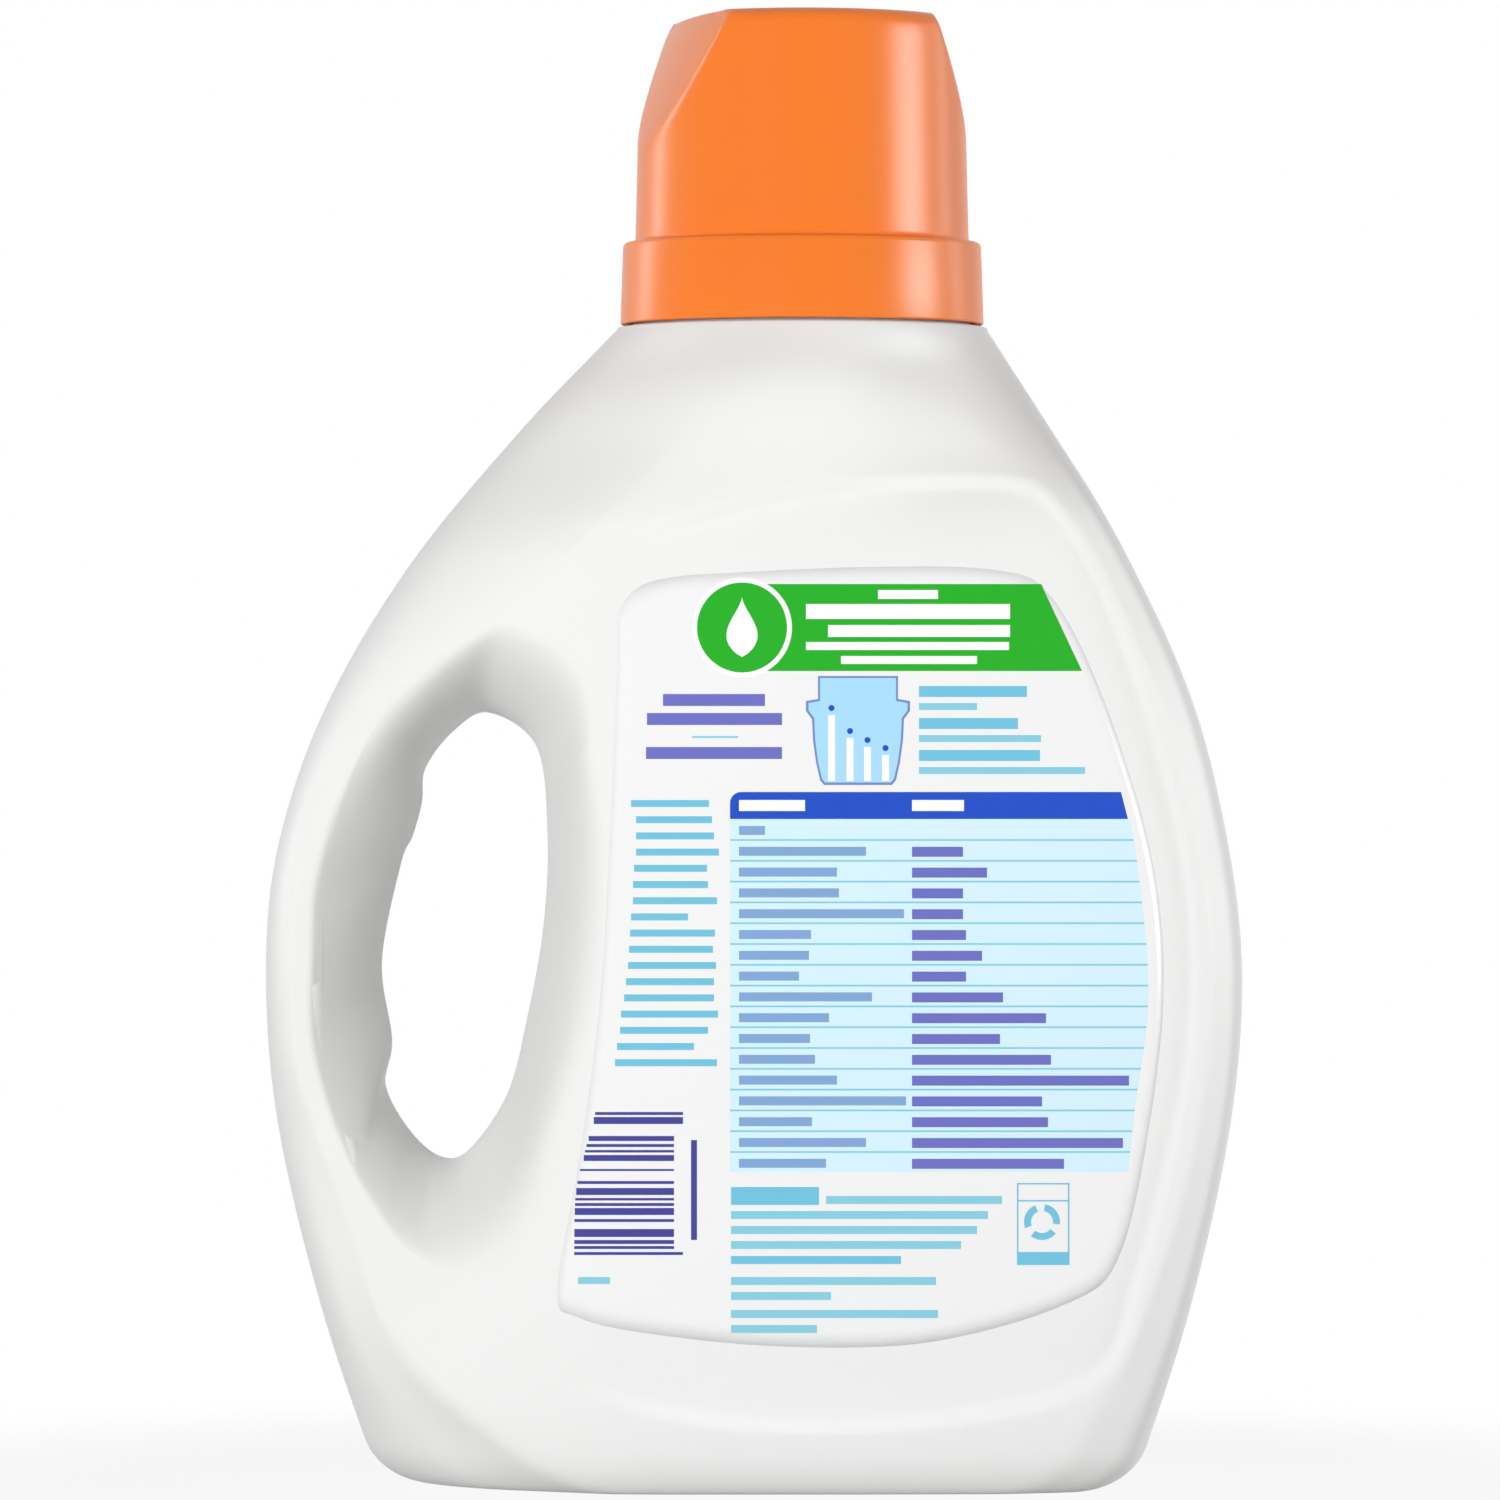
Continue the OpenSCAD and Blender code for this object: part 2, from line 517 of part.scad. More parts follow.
// The cap's outer form: a skirt with a rounded top edge, and the drafted cup
module cap_form() {
    skirt_top_r = skirt_r - skirt_draft;
    rotate_extrude()
        polygon(concat(
            [[0, skirt_z], [skirt_r - skirt_edge, skirt_z], [skirt_r, skirt_z + skirt_edge]],
            arc([skirt_top_r - skirt_round, skirt_top - skirt_round], skirt_round, 0, 90),
            [[cup_r + cup_fillet, skirt_top], [cup_at(skirt_top + cup_fillet), skirt_top + cup_fillet]],
            arc([cup_at(cap_top) - cup_round, cap_top - cup_round], cup_round, 0, 90),
            [[0, cap_top]]
        ));
}
// The space inside the cup, above the web
module cup_space() {
    inner = max(eps, cup_round - cap_wall);
    top_r = cup_at(cap_top) - cap_wall;
    top = cap_top - cap_wall;
    difference() {
        rotate_extrude()
            polygon(concat(
                [[0, web_z - 1], [collar_r - cap_wall, web_z - 1], [collar_r - cap_wall, skirt_top],
                 [cup_r - cap_wall, skirt_top + cup_r - collar_r]],
                arc([top_r - inner, top - inner], inner, 0, 90),
                [[0, top]]
            ));
        beyond_flats(cap_wall);
    }
}

// The dosing cap: a drafted cup with two grip flats, a skirt over the neck and a collar down into the spout
module cap() {
    color("darkorange")
        translate([axis_x, 0, 0]) {
            difference() {
                cap_form();
                beyond_flats(0);
                translate([0, 0, skirt_z - 1]) cylinder(r = skirt_in_r, h = web_z - skirt_z + 1);
                cup_space();
            }
            tube(collar_r, collar_r - cap_wall, collar_z, web_z + eps);
        }
}

bottle();
back_label();
pour_spout();
cap();
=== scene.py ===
"""Looks of a laundry bottle: satin white HDPE, an orange moulded cap, a pouring spout and a film label."""
import math

import bpy
import numpy as np
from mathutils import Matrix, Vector

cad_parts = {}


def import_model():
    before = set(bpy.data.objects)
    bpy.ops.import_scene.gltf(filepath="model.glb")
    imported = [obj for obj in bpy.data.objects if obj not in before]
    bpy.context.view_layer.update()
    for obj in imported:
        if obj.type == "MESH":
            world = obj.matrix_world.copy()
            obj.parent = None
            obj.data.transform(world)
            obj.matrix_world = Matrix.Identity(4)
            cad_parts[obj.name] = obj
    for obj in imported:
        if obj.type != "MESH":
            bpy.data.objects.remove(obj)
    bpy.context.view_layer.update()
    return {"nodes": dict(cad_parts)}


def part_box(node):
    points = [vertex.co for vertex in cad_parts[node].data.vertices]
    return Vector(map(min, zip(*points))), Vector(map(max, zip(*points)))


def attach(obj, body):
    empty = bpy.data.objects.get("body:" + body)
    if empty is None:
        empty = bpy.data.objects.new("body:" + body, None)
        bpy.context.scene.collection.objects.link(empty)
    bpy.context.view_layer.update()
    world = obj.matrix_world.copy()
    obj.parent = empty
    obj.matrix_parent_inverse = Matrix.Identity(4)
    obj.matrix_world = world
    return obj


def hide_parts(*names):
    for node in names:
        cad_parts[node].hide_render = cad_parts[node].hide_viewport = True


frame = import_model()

MM = 0.001
cap_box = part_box("cap")
bottle_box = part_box("bottle")

# The neck's axis and the sizes that the frame gives, in millimetres
AXIS_X = (cap_box[0].x + cap_box[1].x) / 2 / MM
CAP_TOP = cap_box[1].z / MM
COLLAR_Z = cap_box[0].z / MM
SKIRT_R = (cap_box[1].x - cap_box[0].x) / 2 / MM
RIM_Z = bottle_box[1].z / MM
BODY_REACH = bottle_box[1].x / MM - AXIS_X
HANDLE_REACH = AXIS_X - bottle_box[0].x / MM

# Sizes that part.scad drives the solids with, in millimetres
SHOULDER_H = 224.6
LIP_ROUND = 0.7
RISE = SHOULDER_H - LIP_ROUND
HALF_DEPTH = 54.3
GRIP_HALF_DEPTH = 23.0
OPENING_Z, OPENING_X = 106.2, 65.7
OPENING_H, OPENING_W = 86.5, 32.4
FOOT_R, FOOT_RING, PUSH_UP = 8.0, 5.0, 6.0
TUCK_H, TUCK = 19.0, 3.2
WALL = 1.2
RECESS, RECESS_STEP = 1.7, 4.0
NECK_BORE_R, NECK_R = 31.4, 32.7
SHOULDER_R = SKIRT_R + 0.8

# Shares of the half depth, and the stretches of the rise or the reach over which they change
CROWN_DROP, CROWN_POWER = 0.17, 2.4
HANDLE_SHARE, HANDLE_TURN = 0.72, (0.25, 0.95)
GRIP_FROM, GRIP_TO = (0.05, 0.33), (0.6, 0.84)
FACET, BODY_EDGE, BODY_POWER = 0.11, 0.5, 3.5
HANDLE_EDGE, EDGE_TURN, ROUND_POWER = (0.5, 1), (0.2, 0.4), 2.3
SHOULDER_TURN = (0.83, 1)

# Outlines, as shares of the rise and of the reach or of the half depth
BODY_OUTLINE = [(0, 0.757), (0.156, 0.883), (0.313, 0.973), (0.438, 1), (0.548, 0.971),
                (0.678, 0.886), (0.809, 0.729), (0.914, 0.568), (1, SHOULDER_R / BODY_REACH)]
HANDLE_OUTLINE = [(0, 0.79), (0.156, 0.9), (0.313, 0.979), (0.438, 1), (0.548, 0.979),
                  (0.67, 0.891), (0.795, 0.733), (0.914, 0.523), (1, SHOULDER_R / HANDLE_REACH)]
DEPTH_OUTLINE = [(0, 0.862), (0.156, 0.969), (0.36, 1), (0.62, 0.985), (0.795, 0.932), (0.884, 0.85),
                 (0.947, 0.81), (1, SHOULDER_R / HALF_DEPTH)]
BODY_ROUND = [(0, 0.16), (0.134, 0.1), (0.313, 0.071), (0.67, 0.07), (0.826, 0.085), (0.915, 0.13),
              (1, SHOULDER_R / HALF_DEPTH / 2)]
HANDLE_ROUND = [(0, 0.35), (0.112, 0.15), (0.246, 0.105), (0.38, 0.056), (0.62, 0.084), (0.76, 0.25),
                (0.84, 0.3), (0.915, 0.32), (1, SHOULDER_R / HALF_DEPTH / 2)]
HANDLE_FACET = [(0, 0.34), (0.112, 0.43), (0.246, 0.43), (0.38, 0.28), (0.62, 0.04), (0.8, 0.12), (1, 0.12)]
# The finger opening, clockwise from its top: place, then width and two powers of the rounding into it
OPENING = [(0.142, 0.5, 0.53, 1.42, 2.15), (0.429, 0.424, 0.5, 1.49, 2.02), (0.497, 0.229, 0.41, 1.7, 2.1),
           (0.472, 0.021, 0.46, 2.3, 1.95), (0.377, -0.182, 0.45, 2.1, 1.73), (0.253, -0.36, 0.42, 2.3, 1.4),
           (0.022, -0.485, 0.65, 2.2, 1.2), (-0.148, -0.5, 0.57, 1.3, 1.7), (-0.333, -0.441, 0.59, 1.4, 1.51),
           (-0.478, -0.339, 0.59, 1.18, 1.45), (-0.438, -0.239, 0.64, 1.08, 1.2),
           (-0.5, -0.06, 0.63, 1.05, 1.35), (-0.385, 0.16, 0.65, 1.05, 1.22), (-0.315, 0.222, 0.5, 1.1, 1.28),
           (-0.259, 0.299, 0.45, 1.38, 1.15), (-0.238, 0.375, 0.5, 1.8, 1.3), (-0.071, 0.458, 0.51, 1.4, 2.0)]
# The dents where the neck runs out into the shoulder on both sides: place across the width, width and depth
DENTS = [(-0.74, 0.2, 3.0), (0.6, 0.26, 5.0)]
DENT_RISE = (0.8, 0.9, 0.965, 1.0)
OPENING_AT = (0, 1.6, 4.4, 7, len(OPENING))
PANEL = [(-0.287, 0.822), (0, 0.853), (0.377, 0.863), (0.554, 0.844), (0.708, 0.741), (0.855, 0.549),
         (0.87, 0.38), (0.755, 0.188), (0.649, 0.1), (0.295, 0.065), (-0.115, 0.062), (-0.46, 0.105),
         (-0.747, 0.201), (-0.91, 0.424), (-0.843, 0.639), (-0.556, 0.808)]
PANEL_FADE = (0.14, 0.46)
LABEL = [(-0.3, 0.773), (-0.23, 0.782), (-0.14, 0.785), (0.118, 0.79), (0.425, 0.788), (0.554, 0.766),
         (0.672, 0.679), (0.778, 0.549), (0.808, 0.438), (0.778, 0.322), (0.708, 0.205), (0.59, 0.165),
         (0.287, 0.133), (-0.029, 0.129), (-0.276, 0.14), (-0.412, 0.154), (-0.448, 0.176), (-0.407, 0.29),
         (-0.37, 0.424), (-0.35, 0.581), (-0.338, 0.715), (-0.335, 0.75)]
LABEL_MIDDLE = (0.15, 0.455)

# The photograph: millimetres per pixel in the parting plane, and where the neck's axis and the foot lie in it
PHOTO_PX = 1500
PX_MM = 0.195
PHOTO_AXIS_X, PHOTO_FOOT_Y = 802, 1479
CAMERA_AWAY = 1900.0
CAMERA_X = (PHOTO_PX / 2 - PHOTO_AXIS_X) * PX_MM
CAMERA_Z = (PHOTO_FOOT_Y - PHOTO_PX / 2) * PX_MM


# Curves and roundings

def smooth(t):
    """A smooth step: 3 t squared less 2 t cubed, with t held between 0 and 1."""
    t = np.clip(t, 0, 1)
    return t * t * (3 - 2 * t)


def between(span, t):
    """A smooth step from 0 at the span's start to 1 at its end."""
    return smooth((t - span[0]) / (span[1] - span[0]))


def mix(a, b, t):
    """The value a share t of the way from a to b."""
    return a + (b - a) * t


def rounded(q, power=ROUND_POWER):
    """A quarter superellipse: 0 at an edge, 1 from one width in."""
    return (1 - (1 - np.clip(q, 0, 1)) ** power) ** (1 / power)


def curve(points, q):
    """A cubic Hermite curve through (place, height) points, each slope being that between its neighbours."""
    x, y = np.array(points, float).T
    slope = np.concatenate([[(y[1] - y[0]) / (x[1] - x[0])], (y[2:] - y[:-2]) / (x[2:] - x[:-2]),
                            [(y[-1] - y[-2]) / (x[-1] - x[-2])]])
    k = np.clip(np.searchsorted(x, q, side="right") - 1, 0, len(x) - 2)
    h = x[k + 1] - x[k]
    t = (q - x[k]) / h
    r = 1 - t
    return ((1 + 2 * t) * r * r * y[k] + t * r * r * h * slope[k]
            + t * t * (3 - 2 * t) * y[k + 1] - t * t * r * h * slope[k + 1])


def loop_points(points, u):
    """Points of a closed Catmull-Rom curve: a cubic between each two points, sloped as their neighbours lie."""
    p = np.array(points, float)
    n = len(p)
    k = np.floor(u).astype(int)
    t = (u - k)[..., None]
    a, b, c, d = (p[(k + j) % n] for j in (-1, 0, 1, 2))
    return b + (t * (c - a) + t * t * (2 * a - 5 * b + 4 * c - d) + t ** 3 * (3 * b - a - 3 * c + d)) / 2


def placed(p):
    """Shares of the reach and the rise turned into millimetres from the neck's axis and the foot."""
    p = np.asarray(p, float)
    return np.stack([p[..., 0] * np.where(p[..., 0] < 0, HANDLE_REACH, BODY_REACH), p[..., 1] * RISE], -1)


# The bottle's skin

def foot_draw(z, inset):
    """A quarter circle: how far the foot's rounding draws the wall in at height z."""
    r = FOOT_R - inset
    h = np.clip(z - inset, 0, r)
    return r - np.sqrt(r * r - (r - h) ** 2)


def body_x(z, inset=0.0):
    """The body's outline on the side away from the handle, drawn in at the foot."""
    return BODY_REACH * curve(BODY_OUTLINE, z / RISE) - inset - foot_draw(z, inset)


def handle_x(z, inset=0.0):
    """The outline of the handle's side, drawn in at the foot."""
    return -HANDLE_REACH * curve(HANDLE_OUTLINE, z / RISE) + inset + foot_draw(z, inset)


def half_depth(z, inset=0.0):
    """The half depth of the face along the rise, drawn in at the foot's rounding."""
    return HALF_DEPTH * curve(DEPTH_OUTLINE, z / RISE) - inset - foot_draw(z, inset) / 2


def tuck(z):
    """How far the face tucks in above the foot: a parabola from its top down."""
    return TUCK * np.clip(1 - z / TUCK_H, 0, 1) ** 2


def crown(x, z):
    """Share of the half depth left at x: a power curve over the body, a smooth step down to the grip."""
    q = z / RISE
    grip = mix(HANDLE_SHARE, GRIP_HALF_DEPTH / HALF_DEPTH, between(GRIP_FROM, q) * (1 - between(GRIP_TO, q)))
    away = 1 - CROWN_DROP * (np.maximum(x, 0) / BODY_REACH) ** CROWN_POWER
    return np.where(x >= 0, away, 1 - (1 - grip) * between(HANDLE_TURN, -x / HANDLE_REACH))


def side_facet(q, slope, share, power):
    """A side that slopes off straight from one width in, and rounds off over a share of that width."""
    q = np.clip(q, 0, 1)
    return (1 - slope * (1 - q)) * rounded(q / share, power)


def dents(u, q):
    """Depth of the shoulder's dents: bell curves across the width, fading in and out along the rise."""
    rise = between(DENT_RISE[:2], q) * (1 - between(DENT_RISE[2:], q))
    return rise * sum(depth * np.exp(-((u - place) / width) ** 2) for place, width, depth in DENTS)


def face_y(x, z, inset=0.0):
    """Half depth of the whole face: the crowned depth times the roundings in from both sides, turning into an
    ellipse, and so into the neck's circle, towards the shoulder."""
    lo, hi = handle_x(z, inset), body_x(z, inset)
    q = z / RISE
    by_handle = side_facet((x - lo) / (2 * HALF_DEPTH * curve(HANDLE_ROUND, q)), curve(HANDLE_FACET, q),
                           mix(*HANDLE_EDGE, between(EDGE_TURN, q)), ROUND_POWER)
    by_body = side_facet((hi - x) / (2 * HALF_DEPTH * curve(BODY_ROUND, q)), FACET, BODY_EDGE, BODY_POWER)
    u = np.clip((2 * x - lo - hi) / (hi - lo), -1, 1)
    section = mix(crown(x, z) * by_handle * by_body, np.sqrt(1 - u * u), between(SHOULDER_TURN, q))
    return half_depth(z, inset) * section - dents(u, q) * (1 - u * u)


def panel_depth(x):
    """Depth of the label panel: whole over the body, running out smoothly towards the handle."""
    return RECESS * (1 - between(PANEL_FADE, -x / HANDLE_REACH))


PANEL_PIECES = 240
PANEL_LINE = placed(loop_points(PANEL, np.arange(PANEL_PIECES) * len(PANEL) / PANEL_PIECES))


def to_line(x, z, line):
    """Distance from each point to a closed line of straight pieces: the least over its pieces."""
    p = np.stack([x, z], -1)[..., None, :]
    a, e = line, np.roll(line, -1, 0) - line
    t = np.clip(((p - a) * e).sum(-1) / (e * e).sum(-1), 0, 1)
    return np.sqrt((((p - a - t[..., None] * e) ** 2).sum(-1)).min(-1))


def inside_line(x, z, line):
    """Whether points lie inside a closed line: an odd number of its pieces cross the level on one side."""
    a, b = line, np.roll(line, -1, 0)
    x, z = x[..., None], z[..., None]
    level = (a[:, 1] > z) != (b[:, 1] > z)
    run = np.where(b[:, 1] == a[:, 1], 1, b[:, 1] - a[:, 1])
    return (level & (x < a[:, 0] + (z - a[:, 1]) / run * (b[:, 0] - a[:, 0]))).sum(-1) % 2 == 1


def panel_drop(x, z):
    """How far the panel lies below the face: its depth, over a smooth step centred on its border."""
    away = to_line(x, z, PANEL_LINE) * np.where(inside_line(x, z, PANEL_LINE), 1, -1)
    return panel_depth(x) * smooth(away / RECESS_STEP + 0.5)


def opening_point(u, inset=0.0):
    """Points of the finger opening set back along their normals, with the rounding's width and powers."""
    size = np.array([OPENING_W, OPENING_H])
    p = loop_points(OPENING, u)
    d = (loop_points(OPENING, u + 0.2) - loop_points(OPENING, u - 0.2))[..., :2] * size
    out = inset / np.linalg.norm(d, axis=-1)
    x = p[..., 0] * OPENING_W - OPENING_X - d[..., 1] * out
    z = p[..., 1] * OPENING_H + OPENING_Z + d[..., 0] * out
    return np.stack([x, z, p[..., 2] * OPENING_W - inset, p[..., 3], p[..., 4]], -1)


def side_heights(n, inset):
    """Heights up one side: even steps, closing up round the foot's corner as a quarter circle does."""
    corner_n = max(3, n // 7)
    corner = inset + (FOOT_R - inset) * (1 - np.cos(np.linspace(0, math.pi / 2, corner_n + 1)))
    return np.concatenate([corner[:-1], np.linspace(FOOT_R, RISE - inset, n - corner_n + 1)])


def border(counts, inset):
    """The outer border of a half, clockwise from the neck's handle side: across the neck, down the side, along
    the foot and up the handle, with the matching places round the finger opening."""
    neck_n, right_n, foot_n, left_n = counts
    top = RISE - inset
    neck_t = (1 - np.cos(np.linspace(0, math.pi, neck_n + 1)[:-1])) / 2
    foot_t = (1 - np.cos(np.linspace(0, math.pi, foot_n + 1)[:-1])) / 2
    right_z = side_heights(right_n, inset)[::-1][:-1]
    left_z = side_heights(left_n, inset)[:-1]
    foot = np.full(foot_n, inset, float)
    x = np.concatenate([mix(handle_x(top, inset), body_x(top, inset), neck_t), body_x(right_z, inset),
                        mix(body_x(inset, inset), handle_x(inset, inset), foot_t), handle_x(left_z, inset)])
    z = np.concatenate([np.full(neck_n, top), right_z, foot, left_z])
    u = np.concatenate([np.linspace(a, b, n + 1)[:-1]
                        for a, b, n in zip(OPENING_AT, OPENING_AT[1:], counts)])
    return np.stack([x, z], -1), u


def panel_share(p, d):
    """Share of each way from p along d at which it last crosses the panel's border."""
    a, e = PANEL_LINE, np.roll(PANEL_LINE, -1, 0) - PANEL_LINE
    cross = lambda m, n: m[..., 0] * n[..., 1] - m[..., 1] * n[..., 0]
    den = cross(d[:, None], e)
    s = cross(a - p[:, None], e) / den
    t = cross(a - p[:, None], d[:, None]) / den
    return np.where((t >= 0) & (t <= 1), s, -1).max(1)


# Shares of a line: the rounding's most of the way to the panel, the least stretch, and the last one's start
WIDEST, LEAST_STEP, LAST_STEP = 0.8, 0.02, 0.95


def skin(counts, rings, inset):
    """Points of one half of the skin, lines round it by rings outwards: straight in x and z from the finger
    opening to the border, and y from the face's depth, the panel and the rounding into the opening."""
    edge, u = border(counts, inset)
    hole = opening_point(u, inset)
    p, width, outer, inner = hole[:, :2], hole[:, 2], hole[:, 3:4], hole[:, 4:]
    d = edge - p
    long = np.linalg.norm(d, axis=1)
    share = panel_share(p, d)
    a = np.minimum(width / long, share * WIDEST)
    b = np.maximum(share - RECESS_STEP / long, a + LEAST_STEP)
    c = np.minimum(np.maximum(share + RECESS_STEP / long, b + LEAST_STEP), LAST_STEP)
    round_in = 1 - np.cos(np.linspace(0, math.pi / 2, rings[0] + 1))
    across = np.linspace(0, 1, rings[1] + 1)[1:]
    step = np.linspace(0, 1, rings[2] + 1)[1:]
    round_out = np.sin(np.linspace(0, math.pi / 2, rings[3] + 1))[1:]
    s = np.concatenate([a[:, None] * round_in, mix(a[:, None], b[:, None], across),
                        mix(b[:, None], c[:, None], step), mix(c[:, None], 1, round_out)], 1)
    x = p[:, :1] + d[:, :1] * s
    z = p[:, 1:] + d[:, 1:] * s
    into = 1 - (1 - np.clip(s * long[:, None] / width[:, None], 0, 1)) ** outer
    face = face_y(x, z, inset)
    y = np.minimum(face - tuck(z), face - panel_drop(x, z)) * into ** (1 / inner)
    return np.stack([x, y, z], -1)


def mesh_object(name, points, quads, body, material):
    """A piece from points in millimetres from the neck's axis and the foot, and its faces."""
    mesh = bpy.data.meshes.new(name)
    co = (np.asarray(points, float) + [AXIS_X, 0, 0]) * MM
    mesh.from_pydata(co.tolist(), [], [tuple(int(v) for v in q) for q in quads])
    mesh.validate()
    mesh.polygons.foreach_set("use_smooth", np.ones(len(mesh.polygons), bool))
    mesh.materials.append(material)
    piece = bpy.data.objects.new(name, mesh)
    bpy.context.scene.collection.objects.link(piece)
    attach(piece, body)
    return piece


def strip(a, b):
    """Faces between two closed loops of points, the second one following the first up the outside."""
    return np.stack([a, b, np.roll(b, -1), np.roll(a, -1)], 1)[:, ::-1]


def skin_index(counts, rings_n, first):
    """Indices of both halves' points; in the parting plane the far half takes the near half's points."""
    lines = sum(counts)
    near = np.arange(lines * rings_n).reshape(lines, rings_n) + first
    far = near + lines * rings_n
    neck_n, right_n, foot_n, _ = counts
    i = np.arange(lines)
    open_edge = ((i > 0) & (i < neck_n)) | ((i > neck_n + right_n) & (i < neck_n + right_n + foot_n))
    far[:, 0] = near[:, 0]
    far[~open_edge, -1] = near[~open_edge, -1]
    return near, far


def skin_mesh(counts, rings, inset, first, inner):
    """Both halves of a skin: points, faces, and the loops of points round the neck and round the foot."""
    half = skin(counts, rings, inset)
    near, far = skin_index(counts, half.shape[1], first)
    neck_n, right_n, foot_n, _ = counts
    on_seam = np.ones(half.shape[:2], bool)
    i = np.arange(len(half))
    open_edge = ((i > 0) & (i < neck_n)) | ((i > neck_n + right_n) & (i < neck_n + right_n + foot_n))
    on_seam[:, 1:-1] = False
    on_seam[open_edge, -1] = False
    half[on_seam, 1] = 0
    points = np.concatenate([(half * [1, -1, 1]).reshape(-1, 3), half.reshape(-1, 3)])
    faces = []
    for index, turned in ((near, inner), (far, not inner)):
        after = np.roll(index, -1, 0)
        quad = np.stack([index[:, :-1], index[:, 1:], after[:, 1:], after[:, :-1]], -1).reshape(-1, 4)
        faces.append(quad if turned else quad[:, ::-1])
    foot_a, foot_b = neck_n + right_n, neck_n + right_n + foot_n
    neck = np.concatenate([near[:neck_n + 1, -1], far[neck_n - 1:0:-1, -1]])
    foot = np.concatenate([near[foot_b:foot_a - 1:-1, -1], far[foot_a + 1:foot_b, -1]])
    return points, np.concatenate(faces), neck, foot


def circle(n, r, z):
    """A level circle about the neck's axis, from the handle's side past the labelled side."""
    a = np.linspace(0, 2 * math.pi, n, endpoint=False)
    return np.stack([-r * np.cos(a), -r * np.sin(a), np.full(n, z)], 1)


NECK_SECTION = [(SHOULDER_R - LIP_ROUND * 0.3, SHOULDER_H - LIP_ROUND * 0.45),
                (SHOULDER_R - LIP_ROUND, SHOULDER_H - 0.15), (SHOULDER_R - LIP_ROUND * 1.8, SHOULDER_H),
                (NECK_R + 0.9, SHOULDER_H), (NECK_R + 0.3, SHOULDER_H + 0.25), (NECK_R, SHOULDER_H + 0.9),
                (NECK_R, RIM_Z - 0.5), (NECK_R - 0.15, RIM_Z - 0.15), (NECK_R - 0.4, RIM_Z),
                (NECK_BORE_R + 0.4, RIM_Z), (NECK_BORE_R + 0.15, RIM_Z - 0.15), (NECK_BORE_R, RIM_Z - 0.5),
                (NECK_BORE_R, SHOULDER_H - 0.3), (NECK_BORE_R + 0.8, SHOULDER_H - WALL),
                (SHOULDER_R - 3, RISE - WALL + 0.6)]
BASE_SECTION = [(0.6, 0), (FOOT_RING - 0.6, 0), (FOOT_RING, 0.12), (FOOT_RING + 1.2, PUSH_UP * 0.2),
                (FOOT_RING + 3, PUSH_UP * 0.55), (FOOT_RING + 6, PUSH_UP * 0.76),
                (FOOT_RING + 10, PUSH_UP * 0.85), (FOOT_RING + 20, PUSH_UP * 0.96)]


def base_rings(loop, inset):
    """Rings under the foot: its loop drawn in about its middle by each distance of the base's section."""
    lo, hi = handle_x(inset, inset), body_x(inset, inset)
    middle, half = (lo + hi) / 2, (hi - lo) / 2
    deep = face_y(np.array(middle), np.array(inset), inset) - tuck(inset)
    return np.concatenate([
        np.stack([middle + (loop[:, 0] - middle) * (half - s) / half, loop[:, 1] * (deep - s) / deep,
                  np.full(len(loop), z + inset)], 1) for s, z in BASE_SECTION])


# Lines across the neck, down the side, along the foot and up the handle, and rings round the opening, over the
# body, over the panel's step and out to the border
SKIN_LINES = (96, 72, 60, 96)
OUTER_RINGS, INNER_RINGS = (14, 26, 8, 16), (6, 8, 3, 6)


def bottle_mesh():
    """The blown shell: an outer and an inner skin, joined over the neck's rim, each closed by its base."""
    outer, outer_faces, outer_neck, outer_foot = skin_mesh(SKIN_LINES, OUTER_RINGS, 0.0, 0, False)
    first = len(outer)
    inner, inner_faces, inner_neck, inner_foot = skin_mesh(SKIN_LINES, INNER_RINGS, WALL, first, True)
    points, faces = [outer, inner], [outer_faces, inner_faces]
    first += len(inner)
    ring_n = 2 * SKIN_LINES[0]
    loops = [outer_neck]
    for r, z in NECK_SECTION:
        points.append(circle(ring_n, r, z))
        loops.append(np.arange(first, first + ring_n))
        first += ring_n
    loops.append(inner_neck)
    faces += [strip(a, b) for a, b in zip(loops, loops[1:])]
    skins = np.concatenate([outer, inner])
    for foot, inset, inner_side in ((outer_foot, 0.0, False), (inner_foot, WALL, True)):
        rings = base_rings(skins[foot], inset)
        n = len(foot)
        loops = [foot] + [first + j * n + np.arange(n) for j in range(len(BASE_SECTION))]
        points.append(rings)
        first += len(rings)
        last = loops[-1]
        middle = (handle_x(inset, inset) + body_x(inset, inset)) / 2
        points.append(np.array([[middle, 0, PUSH_UP + inset]]))
        pairs = [strip(a, b) for a, b in zip(loops, loops[1:])]
        centre = np.stack([np.full(n, first), last, np.roll(last, -1)], 1)
        if inner_side:
            faces += pairs
            faces.append(centre)
        else:
            faces += [p[:, ::-1] for p in pairs]
            faces.append(centre[:, ::-1])
        first += 1
    quads = [q for f in faces for q in f.tolist()]
    return np.concatenate(points), quads


# The cap: a skirt, a drafted cup with two grip flats, a web and a threaded collar, all one surface

CUP_R, CUP_H, CUP_DRAFT, CUP_ROUND = 32.5, 43.8, math.tan(math.radians(1.4)), 3.0
CAP_WALL, COLLAR_R, SKIRT_IN_R = 1.4, 28.9, SKIRT_R - 1.4
SKIRT_Z, SKIRT_TOP = 225.0, CAP_TOP - CUP_H
FLAT_START, FLAT_RUN, FLAT_TURN = 0.68, 27.0, math.radians(15)
FLAT_RADIUS, FLAT_BULGE, FLAT_EDGE = 150.0, 0.9, 0.9
THREAD_PITCH, THREAD_H, THREAD_FROM, THREAD_TO, THREAD_FADE = 5.5, 0.85, 212.0, 232.0, 2.0
THREAD_CREST, THREAD_SLOPE = 1.6, 5
END_R, END_BEVEL = 21.0, 1.1


